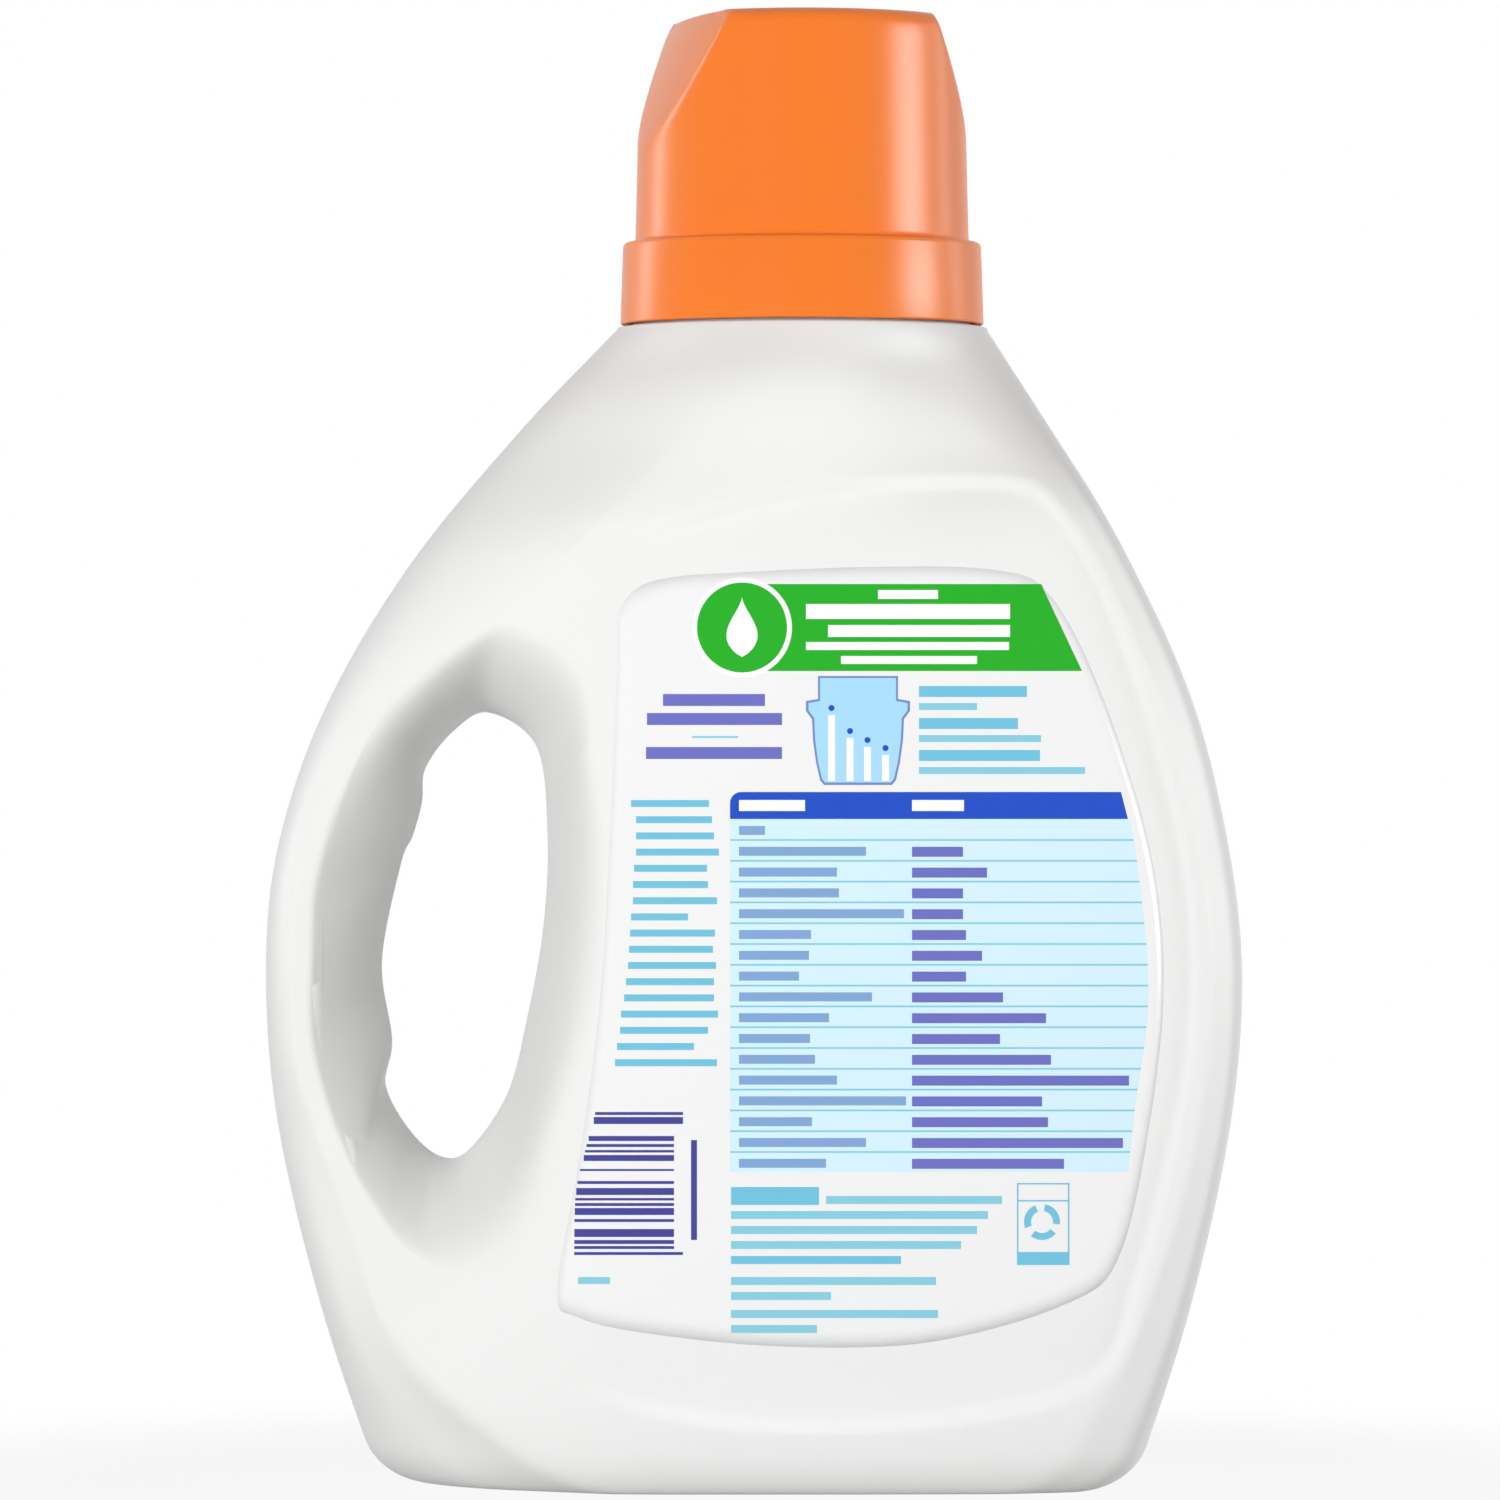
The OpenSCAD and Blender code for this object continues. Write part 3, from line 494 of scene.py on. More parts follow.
def cup_at(z):
    """The cup's outer radius, less by its draft with the height over the skirt."""
    return CUP_R - (z - SKIRT_TOP) * CUP_DRAFT


def soft_min(a, b, k):
    """The lesser of two values, with the corner between them rounded off over a width k by a parabola."""
    h = np.clip(0.5 + 0.5 * (b - a) / k, 0, 1)
    return mix(b, a, h) - k * h * (1 - h)


def with_flats(r, z, angle, inset=0.0):
    """Radii cut down to the two grip flats: circles of a long radius that lean out from the cup's end."""
    start = FLAT_START * cup_at(CAP_TOP)
    out = start + (CAP_TOP - z) * (cup_at(CAP_TOP - FLAT_RUN) - start) / FLAT_RUN
    for turn in (FLAT_TURN, FLAT_TURN + math.pi):
        c = out - inset + FLAT_BULGE - FLAT_RADIUS
        a = angle - turn
        r = soft_min(r, c * np.cos(a) + np.sqrt(FLAT_RADIUS ** 2 - (c * np.sin(a)) ** 2), FLAT_EDGE)
    return r


def quarter(r, z, radius, start, end, n=6):
    """Points of a circle's arc about (r, z) between two angles in degrees."""
    a = np.radians(np.linspace(start, end, n))
    return np.stack([r + radius * np.cos(a), z + radius * np.sin(a)], 1)


def cap_mesh(around=240):
    """Rings from the skirt's lower edge up the outside to the end's middle, and from there down the inside,
    out over the collar and its thread, and back under the web."""
    a = np.linspace(0, 2 * math.pi, around, endpoint=False) + math.pi
    end_r, web_z, collar_z = cup_at(CAP_TOP), SKIRT_TOP - CAP_WALL, COLLAR_Z
    side_z = np.linspace(SKIRT_TOP + 1.2, CAP_TOP - CUP_ROUND, 44)[:-1]
    outside = np.concatenate([
        [[SKIRT_IN_R, SKIRT_Z + 0.2]], quarter(SKIRT_IN_R + 0.2, SKIRT_Z + 0.2, 0.2, 180, 270, 4),
        quarter(SKIRT_R - 0.4, SKIRT_Z + 0.4, 0.4, 270, 360, 5), [[SKIRT_R - 0.25, SKIRT_Z + 8]],
        quarter(SKIRT_R - 1.5, SKIRT_TOP - 1, 1.0, 0, 90, 7), [[CUP_R + 0.9, SKIRT_TOP]],
        quarter(CUP_R + 0.8, SKIRT_TOP + 0.8, 0.8, 270, 180, 5), np.stack([cup_at(side_z), side_z], 1),
        quarter(end_r - CUP_ROUND, CAP_TOP - CUP_ROUND, CUP_ROUND, 0, 90, 10)])
    rings = []
    for r, z in outside:
        t = min(1, max(0, (z - CAP_TOP + CUP_ROUND) / CUP_ROUND))
        cut = with_flats(np.full(around, r), z, a)
        drop = END_BEVEL * t * np.clip(r - cut, 0, 1)
        rings.append(np.stack([cut, z - drop], 1))
    edge, low = rings[-1].T
    for inward in (0.12, 0.35, 0.7, 1.1, 2.0, 5.0, 9.0, 14.0, 19.0):
        rise = np.sqrt(1 - (1 - min(1, inward / END_BEVEL)) ** 2)
        rings.append(np.stack([edge * (1 - inward / END_R), mix(low, CAP_TOP, rise)], 1))
    wall_z = np.linspace(CAP_TOP - CAP_WALL - 1.6, SKIRT_TOP + CUP_R - COLLAR_R, 26)
    inside = np.concatenate([
        [[6.0, CAP_TOP - CAP_WALL], [14.0, CAP_TOP - CAP_WALL], [19.0, CAP_TOP - CAP_WALL]],
        quarter(end_r - CAP_WALL - 1.6, CAP_TOP - CAP_WALL - 1.6, 1.6, 90, 0, 6)[:-1],
        np.stack([cup_at(wall_z) - CAP_WALL, wall_z], 1), [[COLLAR_R - CAP_WALL, SKIRT_TOP]],
        [[COLLAR_R - CAP_WALL, collar_z + 0.4]],
        quarter(COLLAR_R - CAP_WALL + 0.4, collar_z + 0.4, 0.4, 180, 270, 4),
        quarter(COLLAR_R - 0.4, collar_z + 0.4, 0.4, 270, 360, 4)])
    top = len(rings)
    for r, z in inside:
        inset = CAP_WALL if z > SKIRT_TOP + 3 else -20.0
        rings.append(np.stack([with_flats(np.full(around, r), z, a, inset), np.full(around, z)], 1))
    for z in np.linspace(collar_z + 1, web_z - 1, 90):
        turn = (z / THREAD_PITCH + (a - math.pi) / 2 / math.pi) % 1
        ridge = smooth(THREAD_CREST - np.abs(turn - 0.5) * THREAD_SLOPE)
        ridge *= smooth((z - THREAD_FROM) / THREAD_FADE) * smooth((THREAD_TO - z) / THREAD_FADE)
        rings.append(np.stack([COLLAR_R + THREAD_H * ridge, np.full(around, z)], 1))
    for r, z in ((COLLAR_R, web_z - 0.3), (COLLAR_R + 0.3, web_z), (SKIRT_IN_R - 0.3, web_z),
                 (SKIRT_IN_R, web_z - 0.3)):
        rings.append(np.stack([np.full(around, r), np.full(around, z)], 1))
    ring = np.array(rings)
    points = np.stack([ring[..., 0] * np.cos(a), ring[..., 0] * np.sin(a), ring[..., 1]], -1).reshape(-1, 3)
    count = len(rings)
    points = np.concatenate([points, [[0, 0, CAP_TOP], [0, 0, CAP_TOP - CAP_WALL]]])
    loops = np.arange(count * around).reshape(count, around)
    faces = [strip(loops[k], loops[k + 1]).tolist() for k in range(count - 1) if k != top - 1]
    faces.append(strip(loops[-1], loops[0]).tolist())
    outer, inner, n = loops[top - 1], loops[top], count * around
    faces.append(np.stack([np.roll(outer, -1), np.full(around, n), outer], 1).tolist())
    faces.append(np.stack([np.roll(inner, -1), inner, np.full(around, n + 1)], 1).tolist())
    return points, [q for f in faces for q in f]


# The label: a film on the panel's floor, and its inks, each a thin coat on the film

FILM, FILM_EDGE, FILM_GAP, INK = 0.12, 0.02, 0.03, 0.02


def panel_y(x, z):
    """Half depth of the panel's floor."""
    return face_y(x, z) - panel_depth(x)


def film_mesh(around, rings):
    """The film: its outline drawn in to its middle in even shares, on both faces, thinned out at the edge."""
    edge = placed(loop_points(LABEL, np.arange(around) * len(LABEL) / around))
    middle = placed(LABEL_MIDDLE)
    share = (np.arange(rings) / rings)[:, None, None]
    plan = np.concatenate([mix(edge[None], middle, share).reshape(-1, 2), middle[None]])
    x, z = plan.T
    depth = -panel_y(x, z)
    thick = np.where(np.arange(len(plan)) < around, FILM_EDGE, FILM)
    points = np.concatenate([np.stack([x, depth - FILM_GAP - t, z], 1) for t in (thick, 0 * thick)])
    n = len(plan)
    loops = [k * around + np.arange(around) for k in range(rings)]
    last = loops[-1]
    face = [strip(b, a) for a, b in zip(loops, loops[1:])]
    middle_fan = np.stack([np.full(around, n - 1), last, np.roll(last, -1)], 1)
    quads = [q for f in face for q in f.tolist()] + middle_fan.tolist()
    back = [[v + n for v in reversed(q)] for q in quads]
    wall = strip(loops[0], loops[0] + n).tolist()
    return points, quads + back + wall


def on_film(px, py, lift):
    """Points of the film's face that show at pixels of the photograph: the camera's ray through each pixel,
    with the depth found in three rounds from the film's own surface."""
    y = np.full(np.shape(px), -HALF_DEPTH)
    for _ in range(3):
        near = (CAMERA_AWAY + y) / CAMERA_AWAY
        x = CAMERA_X + (px - PHOTO_PX / 2) * PX_MM * near
        z = CAMERA_Z - (py - PHOTO_PX / 2) * PX_MM * near
        y = -panel_y(x, z) - FILM_GAP - FILM
    return np.stack([x, y - lift, z], -1)


class Ink:
    """Patches of one ink, gathered into one mesh."""

    def __init__(self, name, code):
        self.name, self.code, self.points, self.faces, self.count = name, code, [], [], 0

    def add(self, px, py, coat=1):
        """A grid of pixels laid on the film as a patch; coat is the number of coats that it lies over."""
        n, m = px.shape
        i = np.arange(n * m).reshape(n, m) + self.count
        self.points.append(on_film(px, py, INK * coat).reshape(-1, 3))
        self.faces.append(np.stack([i[:-1, :-1], i[1:, :-1], i[1:, 1:], i[:-1, 1:]], -1).reshape(-1, 4))
        self.count += n * m

    def quad(self, corners, coat=1, step=10):
        """A four-cornered field, clockwise from its upper left corner: even shares between opposite sides."""
        (a, b, c, d) = np.array(corners, float)
        n = 1 + max(1, int(np.linalg.norm(b - a) // step))
        m = 1 + max(1, int(np.linalg.norm(d - a) // step))
        u, v = np.meshgrid(np.linspace(0, 1, n), np.linspace(0, 1, m))
        u, v = u[..., None], v[..., None]
        p = a * (1 - u) * (1 - v) + b * u * (1 - v) + c * u * v + d * (1 - u) * v
        self.add(p[..., 0], p[..., 1], coat)

    def bar(self, x, y, wide, high, coat=1):
        """An upright rectangle from its upper left corner."""
        self.quad([(x, y), (x + wide, y), (x + wide, y + high), (x, y + high)], coat)

    def bars(self, rows, coat=1):
        """Upright rectangles, each by its upper left corner, width and height."""
        for row in rows:
            self.bar(*row, coat)

    def ring(self, x, y, inner, outer, coat=1, start=0.0, end=360.0):
        """A ring, or a part of one, between two radii about a middle; with no inner radius it is a disc."""
        a = np.radians(np.linspace(start, end, max(3, int((end - start) / 5)) + 1))
        r = np.linspace(inner, outer, 2 + int((outer - inner) // 8))[:, None]
        self.add(x + r * np.sin(a), y - r * np.cos(a), coat)

    def strip(self, left, right, coat=1):
        """A field between two lines of points that run down its sides."""
        left, right = np.array(left, float), np.array(right, float)
        u = np.linspace(0, 1, 2 + int(np.abs(right - left)[:, 0].max() // 10))[None, :, None]
        p = left[:, None] * (1 - u) + right[:, None] * u
        self.add(p[..., 0], p[..., 1], coat)

    def lines(self, x, y, widths, pitch, high, coat=1):
        """Plain bars one under another, each with its own width; a width of 0 leaves its row bare."""
        for row, wide in enumerate(widths):
            if wide:
                self.bar(x, y + row * pitch, wide, high, coat)


# The label's layout, in pixels of the photograph: fields by their corners, clockwise from the upper left one,
# and bars by their upper left corner, width and height

INKS = [("ink_green", "#12A812"), ("ink_white", "#FAFAFA"), ("ink_navy", "#3C3C8E"), ("ink_blue", "#1048C0"),
        ("ink_pale_blue", "#D3EFFB"), ("ink_rule", "#86CBDD"), ("ink_cup", "#A8DAFB"), ("ink_cup_line", "#7088C0"),
        ("ink_cyan", "#6FC0DC"), ("ink_violet", "#6A6CBE"), ("ink_slate", "#7FA4D2")]
BANNER = [(762, 584), (1041, 584), (1082, 671), (762, 671)]
BANNER_BARS = [(878, 590, 60, 9), (806, 604, 204, 15), (828, 625, 182, 12), (806, 642, 203, 8),
               (841, 656, 136, 8)]
DISC_X, DISC_Y, DISC_R, DISC_RING = 742, 627.5, 45, (44, 50)
DROP_TOP, DROP_LONG, DROP_HALF = 597, 60, 17
LEFT_BARS = [(663, 694, 102, 12), (647, 713, 135, 12), (646, 747, 136, 12)]
LEFT_RULE = (692, 736, 46, 2)
PAIRS_X, PAIR_DROP, PAIR_HIGH = 919, 17, (11, 7)
PAIRS = [(686, 108, 58), (718, 99, 122), (750, 121, 166)]

CUP_MIDDLE, CUP_FLOOR, LEVEL_WIDE, DOT_R, DOT_RISE = 858, 781, 7, 3, 7
CUP_SIDE = [(818, 676), (818, 699), (806, 701), (806, 711), (812, 719), (813, 740), (816, 762), (820, 780),
            (824, 785)]
CUP_FILLING = [(820, 678), (820, 701), (808.5, 703), (808.5, 710.5), (814.2, 718), (815.2, 740), (818, 761.5),
               (822, 778.6), (825, 782.5)]
CUP_LEVELS = [(828, 715), (846.5, 738), (864, 747), (882, 755)]

TABLE_X, HEADER_Y, TABLE_Y, TABLE_FOOT_Y, TABLE_STEPS = 730, 792, 819, 1172, 35
HEADER_ROUND, HEADER_RIGHT, HEADER_SLANT, HEADER_END = 11, 1121, 0.26, 1128
HEADER_BARS = [(739, 800, 66, 11), (912, 800, 52, 11)]
TABLE_RIGHT = [(819, 1130), (870, 1138), (971, 1148), (1030, 1146), (1079, 1139), (1130, 1132), (1172, 1128)]
ROW_RULE_Y, ROW_PITCH, ROWS, RULE_HALF = 840, 20.8, 16, 0.9
ROW_BAR_Y, ROW_X, ROW_HIGH = 826, (739, 912), (9, 10)
ROW_LEFT = (26, 127, 98, 100, 165, 72, 70, 60, 133, 90, 71, 76, 98, 167, 73, 127, 87)
ROW_RIGHT = (0, 51, 75, 51, 51, 54, 70, 54, 91, 134, 88, 139, 217, 130, 136, 211, 152)

COLUMN_Y, COLUMN_PITCH, COLUMN_HIGH = 800, 16.2, 7
COLUMN = [(631, 78), (636, 76), (636, 78), (636, 83), (634, 73), (633, 75), (633, 84), (631, 57), (630, 85),
          (629, 84), (628, 88), (626, 88), (624, 90), (621, 97), (620, 88), (617, 77), (615, 102)]
LOWER_CYAN = [(731, 1187, 88, 18), (731, 1256, 170, 8)]
LOWER_RULE = [(826, 1196, 176, 8), (731, 1211, 257, 8), (731, 1226, 246, 8), (731, 1241, 230, 8),
              (731, 1277, 205, 8), (731, 1292, 100, 8), (731, 1310, 207, 8), (731, 1325, 86, 8)]
FRAME_BARS = [(1017, 1183, 52, 1.5), (1017, 1200, 52, 1.5), (1017, 1183, 1.5, 82), (1068, 1183, 1.5, 82),
              (1017, 1252, 52, 13)]
ARC_X, ARC_Y, ARC_R, ARC_STARTS, ARC_SWEEP = 1042, 1222, (11, 18), (10, 130, 250), 88
STACK_LEFT = [(1112, 595), (1150, 585), (1190, 576), (1255, 574)]
STACK_RIGHT, STACK_WIDE_RIGHT, STACK_WIDE_ROWS = 674, 683, (1112, 1117, 1252)
STACK = [(1112, 3), (1117, 7), (1136, 5), (1144, 3), (1150, 2.5), (1155, 6), (1169, 2), (1181, 3), (1188, 7),
         (1198, 2.5), (1203, 3), (1208, 7), (1219, 3), (1229, 8), (1240, 4), (1246, 3), (1252, 3)]
STACK_POST, STACK_FOOT = (691, 1140, 6, 100), (578, 1277, 32, 7)


def mirrored_side(side):
    """The other side of the measuring cup, mirrored about its middle."""
    return [(2 * CUP_MIDDLE - x, y) for x, y in side]


def print_label():
    """The label's fields of colour and plain shapes, each ink in a piece of its own."""
    inks = [Ink(name, code) for name, code in INKS]
    green, white, navy, header, pale, rule, cup, outline, cyan, violet, slate = inks

    # Banner with its disc and ring, and a plain drop in the disc, whose half width is a sine loop that narrows
    # to a point at the top
    green.quad(BANNER)
    white.ring(DISC_X, DISC_Y, *DISC_RING, 2)
    green.ring(DISC_X, DISC_Y, 0, DISC_R, 3)
    t = np.linspace(0, 1, 21)
    half = DROP_HALF * np.sin(math.pi * t) ** 0.8 * t ** 0.75 / 0.72
    y = DROP_TOP + DROP_LONG * t
    white.strip(np.stack([DISC_X - half, y], 1), np.stack([DISC_X + half, y], 1), 4)
    white.bars(BANNER_BARS, 2)

    # Bars on both sides of the measuring cup
    violet.bars(LEFT_BARS)
    rule.bar(*LEFT_RULE)
    for y, upper, lower in PAIRS:
        cyan.bar(PAIRS_X, y, upper, PAIR_HIGH[0])
        rule.bar(PAIRS_X, y + PAIR_DROP, lower, PAIR_HIGH[1])

    # The measuring cup: an outline, its filling and four white level bars
    outline.strip(CUP_SIDE, mirrored_side(CUP_SIDE))
    cup.strip(CUP_FILLING, mirrored_side(CUP_FILLING), 2)
    for x, y in CUP_LEVELS:
        white.bar(x, y, LEVEL_WIDE, CUP_FLOOR - y, 3)
        header.ring(x + LEVEL_WIDE / 2, y - DOT_RISE, 0, DOT_R, 3)

    # Table: a header with one round corner, a pale field with a curved right side, and its rules and bars
    corner = np.radians(np.linspace(0, 90, 7))
    header_left = np.stack([TABLE_X + HEADER_ROUND * (1 - np.sin(corner)),
                            HEADER_Y + HEADER_ROUND * (1 - np.cos(corner))], 1).tolist()
    header_right = [(HEADER_RIGHT + (y - HEADER_Y) * HEADER_SLANT, y) for _, y in header_left]
    header.strip(header_left + [(TABLE_X, TABLE_Y)], header_right + [(HEADER_END, TABLE_Y)])
    white.bars(HEADER_BARS, 2)
    y = np.linspace(TABLE_Y, TABLE_FOOT_Y, TABLE_STEPS)
    pale.strip(np.stack([np.full(TABLE_STEPS, float(TABLE_X)), y], 1), np.stack([curve(TABLE_RIGHT, y), y], 1))
    for row in range(ROWS):
        level = ROW_RULE_Y + row * ROW_PITCH
        rule.bar(TABLE_X, level - RULE_HALF, float(curve(TABLE_RIGHT, level)) - TABLE_X, 2 * RULE_HALF, 2)
    slate.lines(ROW_X[0], ROW_BAR_Y, ROW_LEFT, ROW_PITCH, ROW_HIGH[0], 2)
    violet.lines(ROW_X[1], ROW_BAR_Y, ROW_RIGHT, ROW_PITCH, ROW_HIGH[1], 2)

    # Bars left of the table, under it, and round a framed field with a broken ring
    for row, (x, wide) in enumerate(COLUMN):
        cyan.bar(x, COLUMN_Y + row * COLUMN_PITCH, wide, COLUMN_HIGH)
    cyan.bars(LOWER_CYAN)
    rule.bars(LOWER_RULE)
    cyan.bars(FRAME_BARS)
    for start in ARC_STARTS:
        cyan.ring(ARC_X, ARC_Y, *ARC_R, 1, start, start + ARC_SWEEP)

    # A stack of plain bars, whose left ends follow the film's edge
    for y, high in STACK:
        x = float(curve(STACK_LEFT, y))
        end = STACK_WIDE_RIGHT if y in STACK_WIDE_ROWS else STACK_RIGHT
        navy.bar(x, y, end - x, high)
    navy.bar(*STACK_POST)
    rule.bar(*STACK_FOOT)
    return inks


# Materials

def linear(code, alpha=1.0):
    """An sRGB hex colour as linear values."""
    rgb = [int(code[i:i + 2], 16) / 255 for i in (1, 3, 5)]
    return [c / 12.92 if c <= 0.04045 else ((c + 0.055) / 1.055) ** 2.4 for c in rgb] + [alpha]


def node(tree, kind, settings=None, **links):
    """Adds a node; settings are its attributes, and links its inputs: values, or outputs of other nodes."""
    n = tree.nodes.new(kind)
    for key, value in (settings or {}).items():
        setattr(n, key, value)
    for key, value in links.items():
        numbered = key[0] == "i" and key[1:].isdigit()
        socket = n.inputs[int(key[1:]) if numbered else key.replace("_", " ")]
        if isinstance(value, bpy.types.NodeSocket):
            tree.links.new(value, socket)
        else:
            socket.default_value = value
    return n


def material(name, **shader):
    """A new material with a Principled BSDF, its constants set on the shader's own sockets."""
    m = bpy.data.materials.new(name)
    m.use_nodes = True
    bsdf = m.node_tree.nodes["Principled BSDF"]
    for key, value in shader.items():
        bsdf.inputs[key.replace("_", " ")].default_value = value
    return m, m.node_tree, bsdf


def blown_hdpe():
    """White HDPE, extrusion blow moulded: satin, opaque, with the soft unevenness of the mould."""
    m, tree, bsdf = material("white_hdpe_blow_moulded", Roughness=0.5, IOR=1.53,
                             Base_Color=linear("#ECECEB"))
    place = node(tree, "ShaderNodeTexCoord").outputs["Object"]
    # The blasted mould leaves an orange peel about 1.5 mm across, a few hundredths of a millimetre deep
    peel = node(tree, "ShaderNodeTexNoise", Vector=place, Scale=650.0, Detail=2.0, Roughness=0.5)
    sweep = node(tree, "ShaderNodeTexNoise", Vector=place, Scale=45.0, Detail=1.0)
    rough = node(tree, "ShaderNodeMapRange", Value=sweep.outputs["Fac"], i3=0.46, i4=0.54)
    tree.links.new(rough.outputs["Result"], bsdf.inputs["Roughness"])
    bump = node(tree, "ShaderNodeBump", Strength=0.06, Distance=0.0002, Height=peel.outputs["Fac"])
    tree.links.new(bump.outputs["Normal"], bsdf.inputs["Normal"])
    return m


def film_finish(name, code):
    """Polypropylene label film, or an ink on it, under a clear varnish: smooth and a little glossier than the
    bottle, with the film's faint waviness."""
    m, tree, bsdf = material(name, Roughness=0.3, IOR=1.49, Base_Color=linear(code))
    place = node(tree, "ShaderNodeTexCoord").outputs["Object"]
    grain = node(tree, "ShaderNodeTexNoise", Vector=place, Scale=900.0, Detail=1.0)
    bump = node(tree, "ShaderNodeBump", Strength=0.02, Distance=0.0001, Height=grain.outputs["Fac"])
    tree.links.new(bump.outputs["Normal"], bsdf.inputs["Normal"])
    return m


def moulded_orange():
    """Orange polypropylene, injection moulded: satin, with a little light going into it."""
    m, tree, bsdf = material("orange_pp_injection_moulded", Roughness=0.32, IOR=1.49,
                             Base_Color=linear("#F0781E"), Subsurface_Weight=0.12, Subsurface_Scale=0.004)
    bsdf.inputs["Subsurface Radius"].default_value = (1.0, 0.35, 0.12)
    place = node(tree, "ShaderNodeTexCoord").outputs["Object"]
    # The spark-eroded mould gives a fine even grain, drawn at 0.6 mm so that it shows
    grain = node(tree, "ShaderNodeTexNoise", Vector=place, Scale=1600.0, Detail=2.0)
    bump = node(tree, "ShaderNodeBump", Strength=0.08, Distance=0.0001, Height=grain.outputs["Fac"])
    tree.links.new(bump.outputs["Normal"], bsdf.inputs["Normal"])
    return m


def moulded_natural():
    """Natural low-density polyethylene, injection moulded: milky and satin."""
    m, tree, bsdf = material("natural_ldpe_injection_moulded", Roughness=0.42, IOR=1.51,
                             Base_Color=linear("#ECEBE6"), Subsurface_Weight=0.2, Subsurface_Scale=0.004)
    place = node(tree, "ShaderNodeTexCoord").outputs["Object"]
    grain = node(tree, "ShaderNodeTexNoise", Vector=place, Scale=1200.0, Detail=2.0)
    bump = node(tree, "ShaderNodeBump", Strength=0.06, Distance=0.0001, Height=grain.outputs["Fac"])
    tree.links.new(bump.outputs["Normal"], bsdf.inputs["Normal"])
    return m


def paint(cad_node, m):
    """Gives a CAD node's object one material."""
    mesh = cad_node.data
    mesh.materials.clear()
    mesh.materials.append(m)


# Floor, light and camera

def seen_or_mirrored(tree):
    """1 for what the camera sees, straight, mirrored or through a clear piece, and 0 for plain light."""
    ray = node(tree, "ShaderNodeLightPath")
    first = node(tree, "ShaderNodeMath", {"operation": "MAXIMUM"},
                 i0=ray.outputs["Is Camera Ray"], i1=ray.outputs["Is Glossy Ray"])
    return node(tree, "ShaderNodeMath", {"operation": "MAXIMUM"},
                i0=first.outputs[0], i1=ray.outputs["Is Transmission Ray"]).outputs[0]


# Distances from the middle in metres between which the floor turns wholly white, and its share of white within
FLOOR_FADE, FLOOR_SHARE, FLOOR_HALF = (0.12, 0.26), 0.9, 6.0
SOFT_LIGHT, WHITE_LIGHT = 0.02, 1.0
AIM = Vector((0, 0, 0.14))


def pale(name, share):
    """A white stage surface: plain to the light, and mostly its own white to the camera, so that only the
    object's shadow shows on it."""
    m = bpy.data.materials.new(name)
    m.use_nodes = True
    tree = m.node_tree
    tree.nodes.clear()
    seen = seen_or_mirrored(tree)
    place = node(tree, "ShaderNodeTexCoord").outputs["Object"]
    away = node(tree, "ShaderNodeVectorMath", {"operation": "LENGTH"}, i0=place)
    far = node(tree, "ShaderNodeMapRange", {"interpolation_type": "SMOOTHSTEP"},
               Value=away.outputs["Value"], i1=FLOOR_FADE[0], i2=FLOOR_FADE[1], i3=share, i4=1.0)
    fac = node(tree, "ShaderNodeMath", {"operation": "MULTIPLY"}, i0=seen, i1=far.outputs[0])
    plain = node(tree, "ShaderNodeBsdfDiffuse", Color=linear("#C4C4C4"))
    white = node(tree, "ShaderNodeEmission", Color=linear("#FFFFFF"), Strength=WHITE_LIGHT)
    both = node(tree, "ShaderNodeMixShader", i0=fac.outputs[0], i1=plain.outputs[0], i2=white.outputs[0])
    node(tree, "ShaderNodeOutputMaterial", Surface=both.outputs[0])
    return m


def floor():
    """A wide pale plane that the bottle stands on."""
    mesh = bpy.data.meshes.new("floor")
    h = FLOOR_HALF
    mesh.from_pydata([(-h, -h, 0), (h, -h, 0), (h, h, 0), (-h, h, 0)], [], [(0, 1, 2, 3)])
    mesh.materials.append(pale("floor_white", FLOOR_SHARE))
    plane = bpy.data.objects.new("floor", mesh)
    bpy.context.scene.collection.objects.link(plane)


def world():
    """Even pale light from all round, and plain white where the camera or a reflection sees it."""
    w = bpy.data.worlds.new("studio")
    bpy.context.scene.world = w
    w.use_nodes = True
    tree = w.node_tree
    tree.nodes.clear()
    soft = node(tree, "ShaderNodeBackground", Color=linear("#FFFFFF"), Strength=SOFT_LIGHT)
    white = node(tree, "ShaderNodeBackground", Color=linear("#FFFFFF"), Strength=WHITE_LIGHT)
    seen = seen_or_mirrored(tree)
    both = node(tree, "ShaderNodeMixShader", i0=seen, i1=soft.outputs[0], i2=white.outputs[0])
    node(tree, "ShaderNodeOutputWorld", Surface=both.outputs[0])


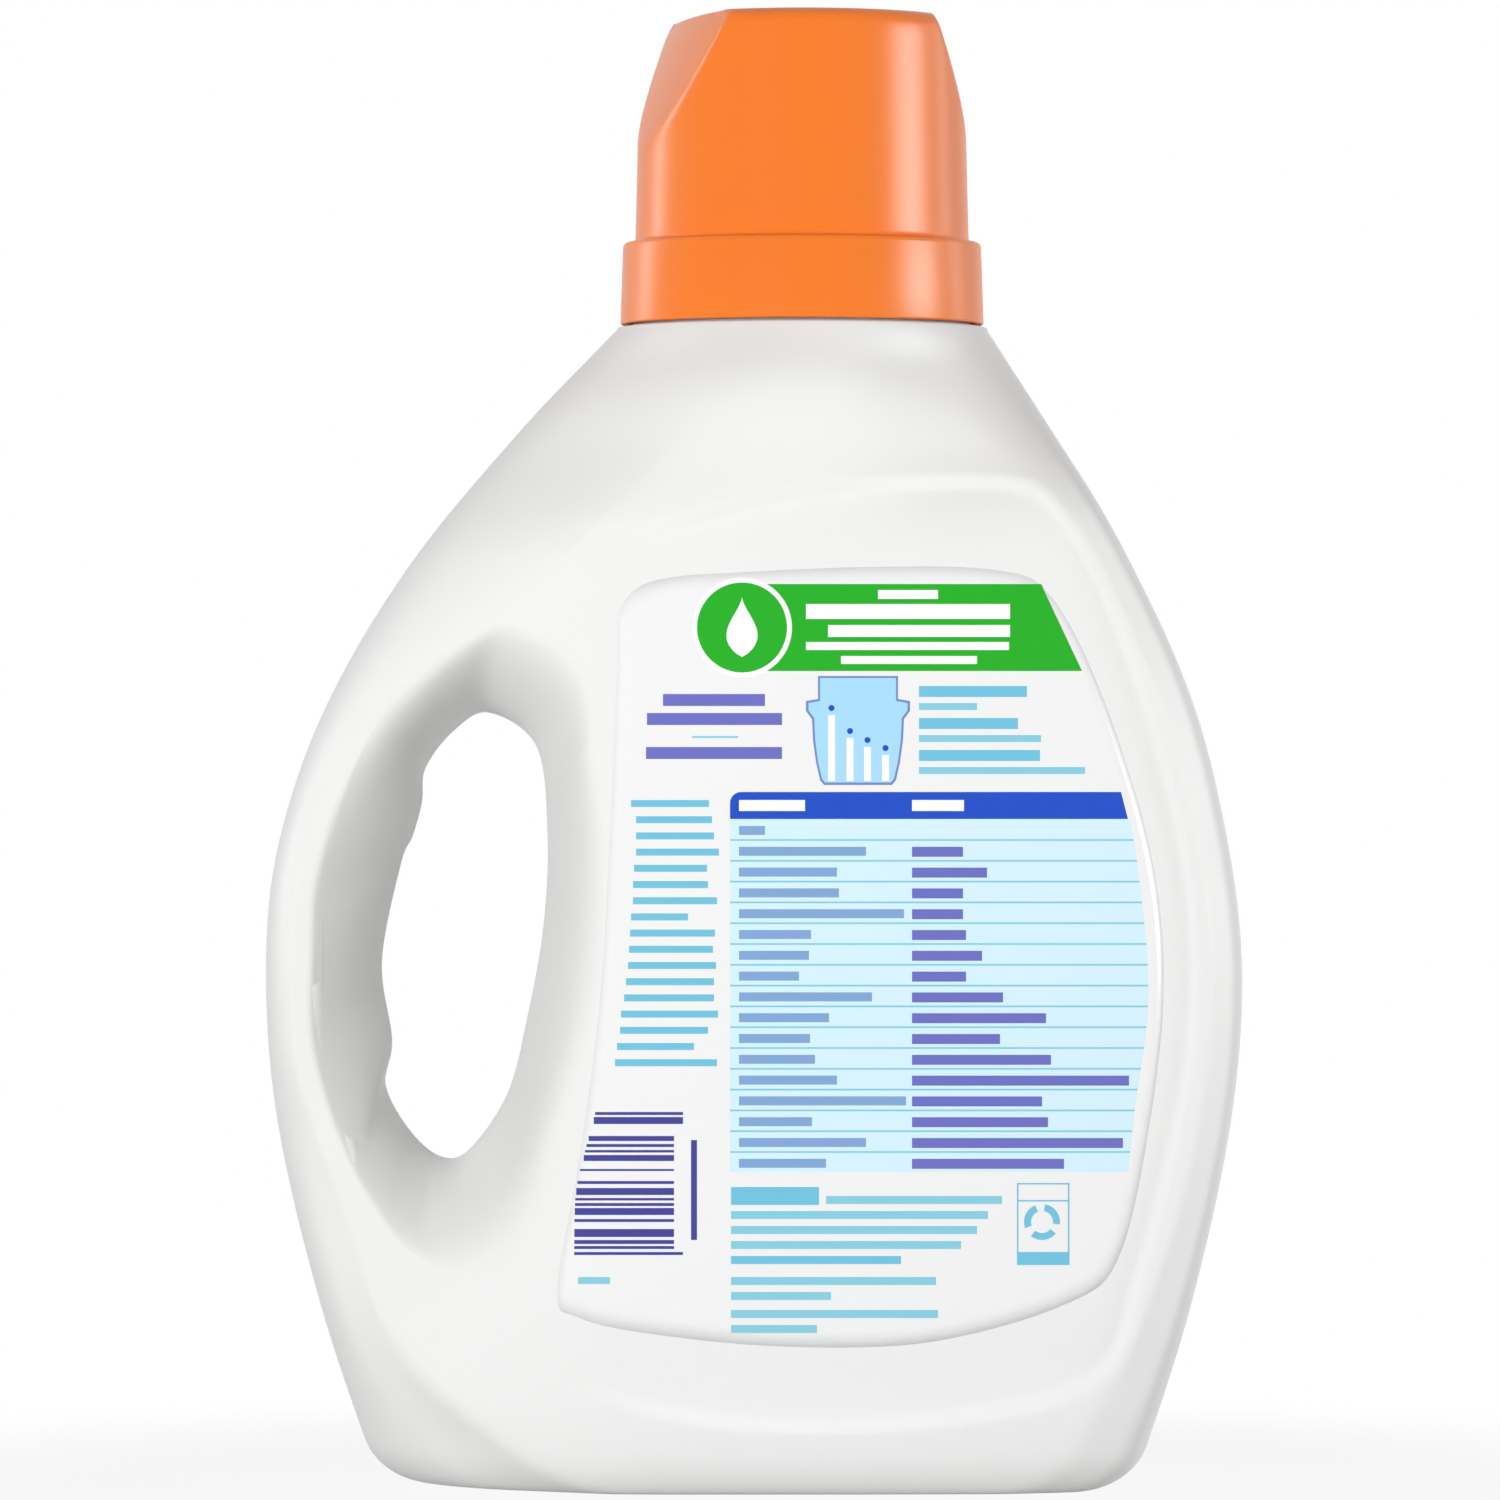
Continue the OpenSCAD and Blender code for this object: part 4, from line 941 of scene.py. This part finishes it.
def lamp(name, place, size, power, mirrored=True):
    """A soft light that faces the bottle; one that isn't mirrored gives no highlight."""
    data = bpy.data.lights.new(name, "AREA")
    data.shape = "RECTANGLE"
    data.size, data.size_y = size
    data.energy = power
    obj = bpy.data.objects.new(name, data)
    obj.location = place
    obj.rotation_euler = (AIM - Vector(place)).to_track_quat("-Z", "Y").to_euler()
    obj.visible_glossy = mirrored
    bpy.context.scene.collection.objects.link(obj)


def camera():
    """The photograph's view: level, along +Y, the frame as wide as the photograph in the parting plane."""
    data = bpy.data.cameras.new("camera")
    data.sensor_fit = "HORIZONTAL"
    data.angle = 2 * math.atan(PHOTO_PX * PX_MM / 2 / CAMERA_AWAY)
    data.clip_end = 50
    obj = bpy.data.objects.new("camera", data)
    obj.location = ((AXIS_X + CAMERA_X) * MM, -CAMERA_AWAY * MM, CAMERA_Z * MM)
    obj.rotation_euler = (math.pi / 2, 0, 0)
    bpy.context.scene.collection.objects.link(obj)
    bpy.context.scene.camera = obj


points, quads = bottle_mesh()
bottle = mesh_object("bottle_shell", points, quads, "bottle", blown_hdpe())
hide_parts("bottle")

film_points, film_faces = film_mesh(160, 24)
film = mesh_object("label_film", film_points, film_faces, "bottle",
                   film_finish("white_pp_film", "#EFEFEF"))
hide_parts("back_label")
for ink in print_label():
    mesh_object(ink.name, np.concatenate(ink.points), np.concatenate(ink.faces), "bottle",
                film_finish(ink.name + "_on_pp_film", ink.code))
paint(frame["nodes"]["pour_spout"], moulded_natural())
cap_points, cap_faces = cap_mesh()
cap = mesh_object("cap_shell", cap_points, cap_faces, "cap", moulded_orange())
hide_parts("cap")

floor()
world()
lamp("front", (-0.82, -1.8, 0.42), (0.8, 0.6), 37, False)
lamp("right", (1.95, -0.35, 0.36), (0.8, 0.6), 20)
lamp("right_rim", (1.75, 0.85, 0.4), (0.2, 1.2), 4)
lamp("left_rim", (-1.75, 0.95, 0.4), (0.25, 1.2), 8)
camera()
bpy.context.scene.view_settings.view_transform = "Standard"
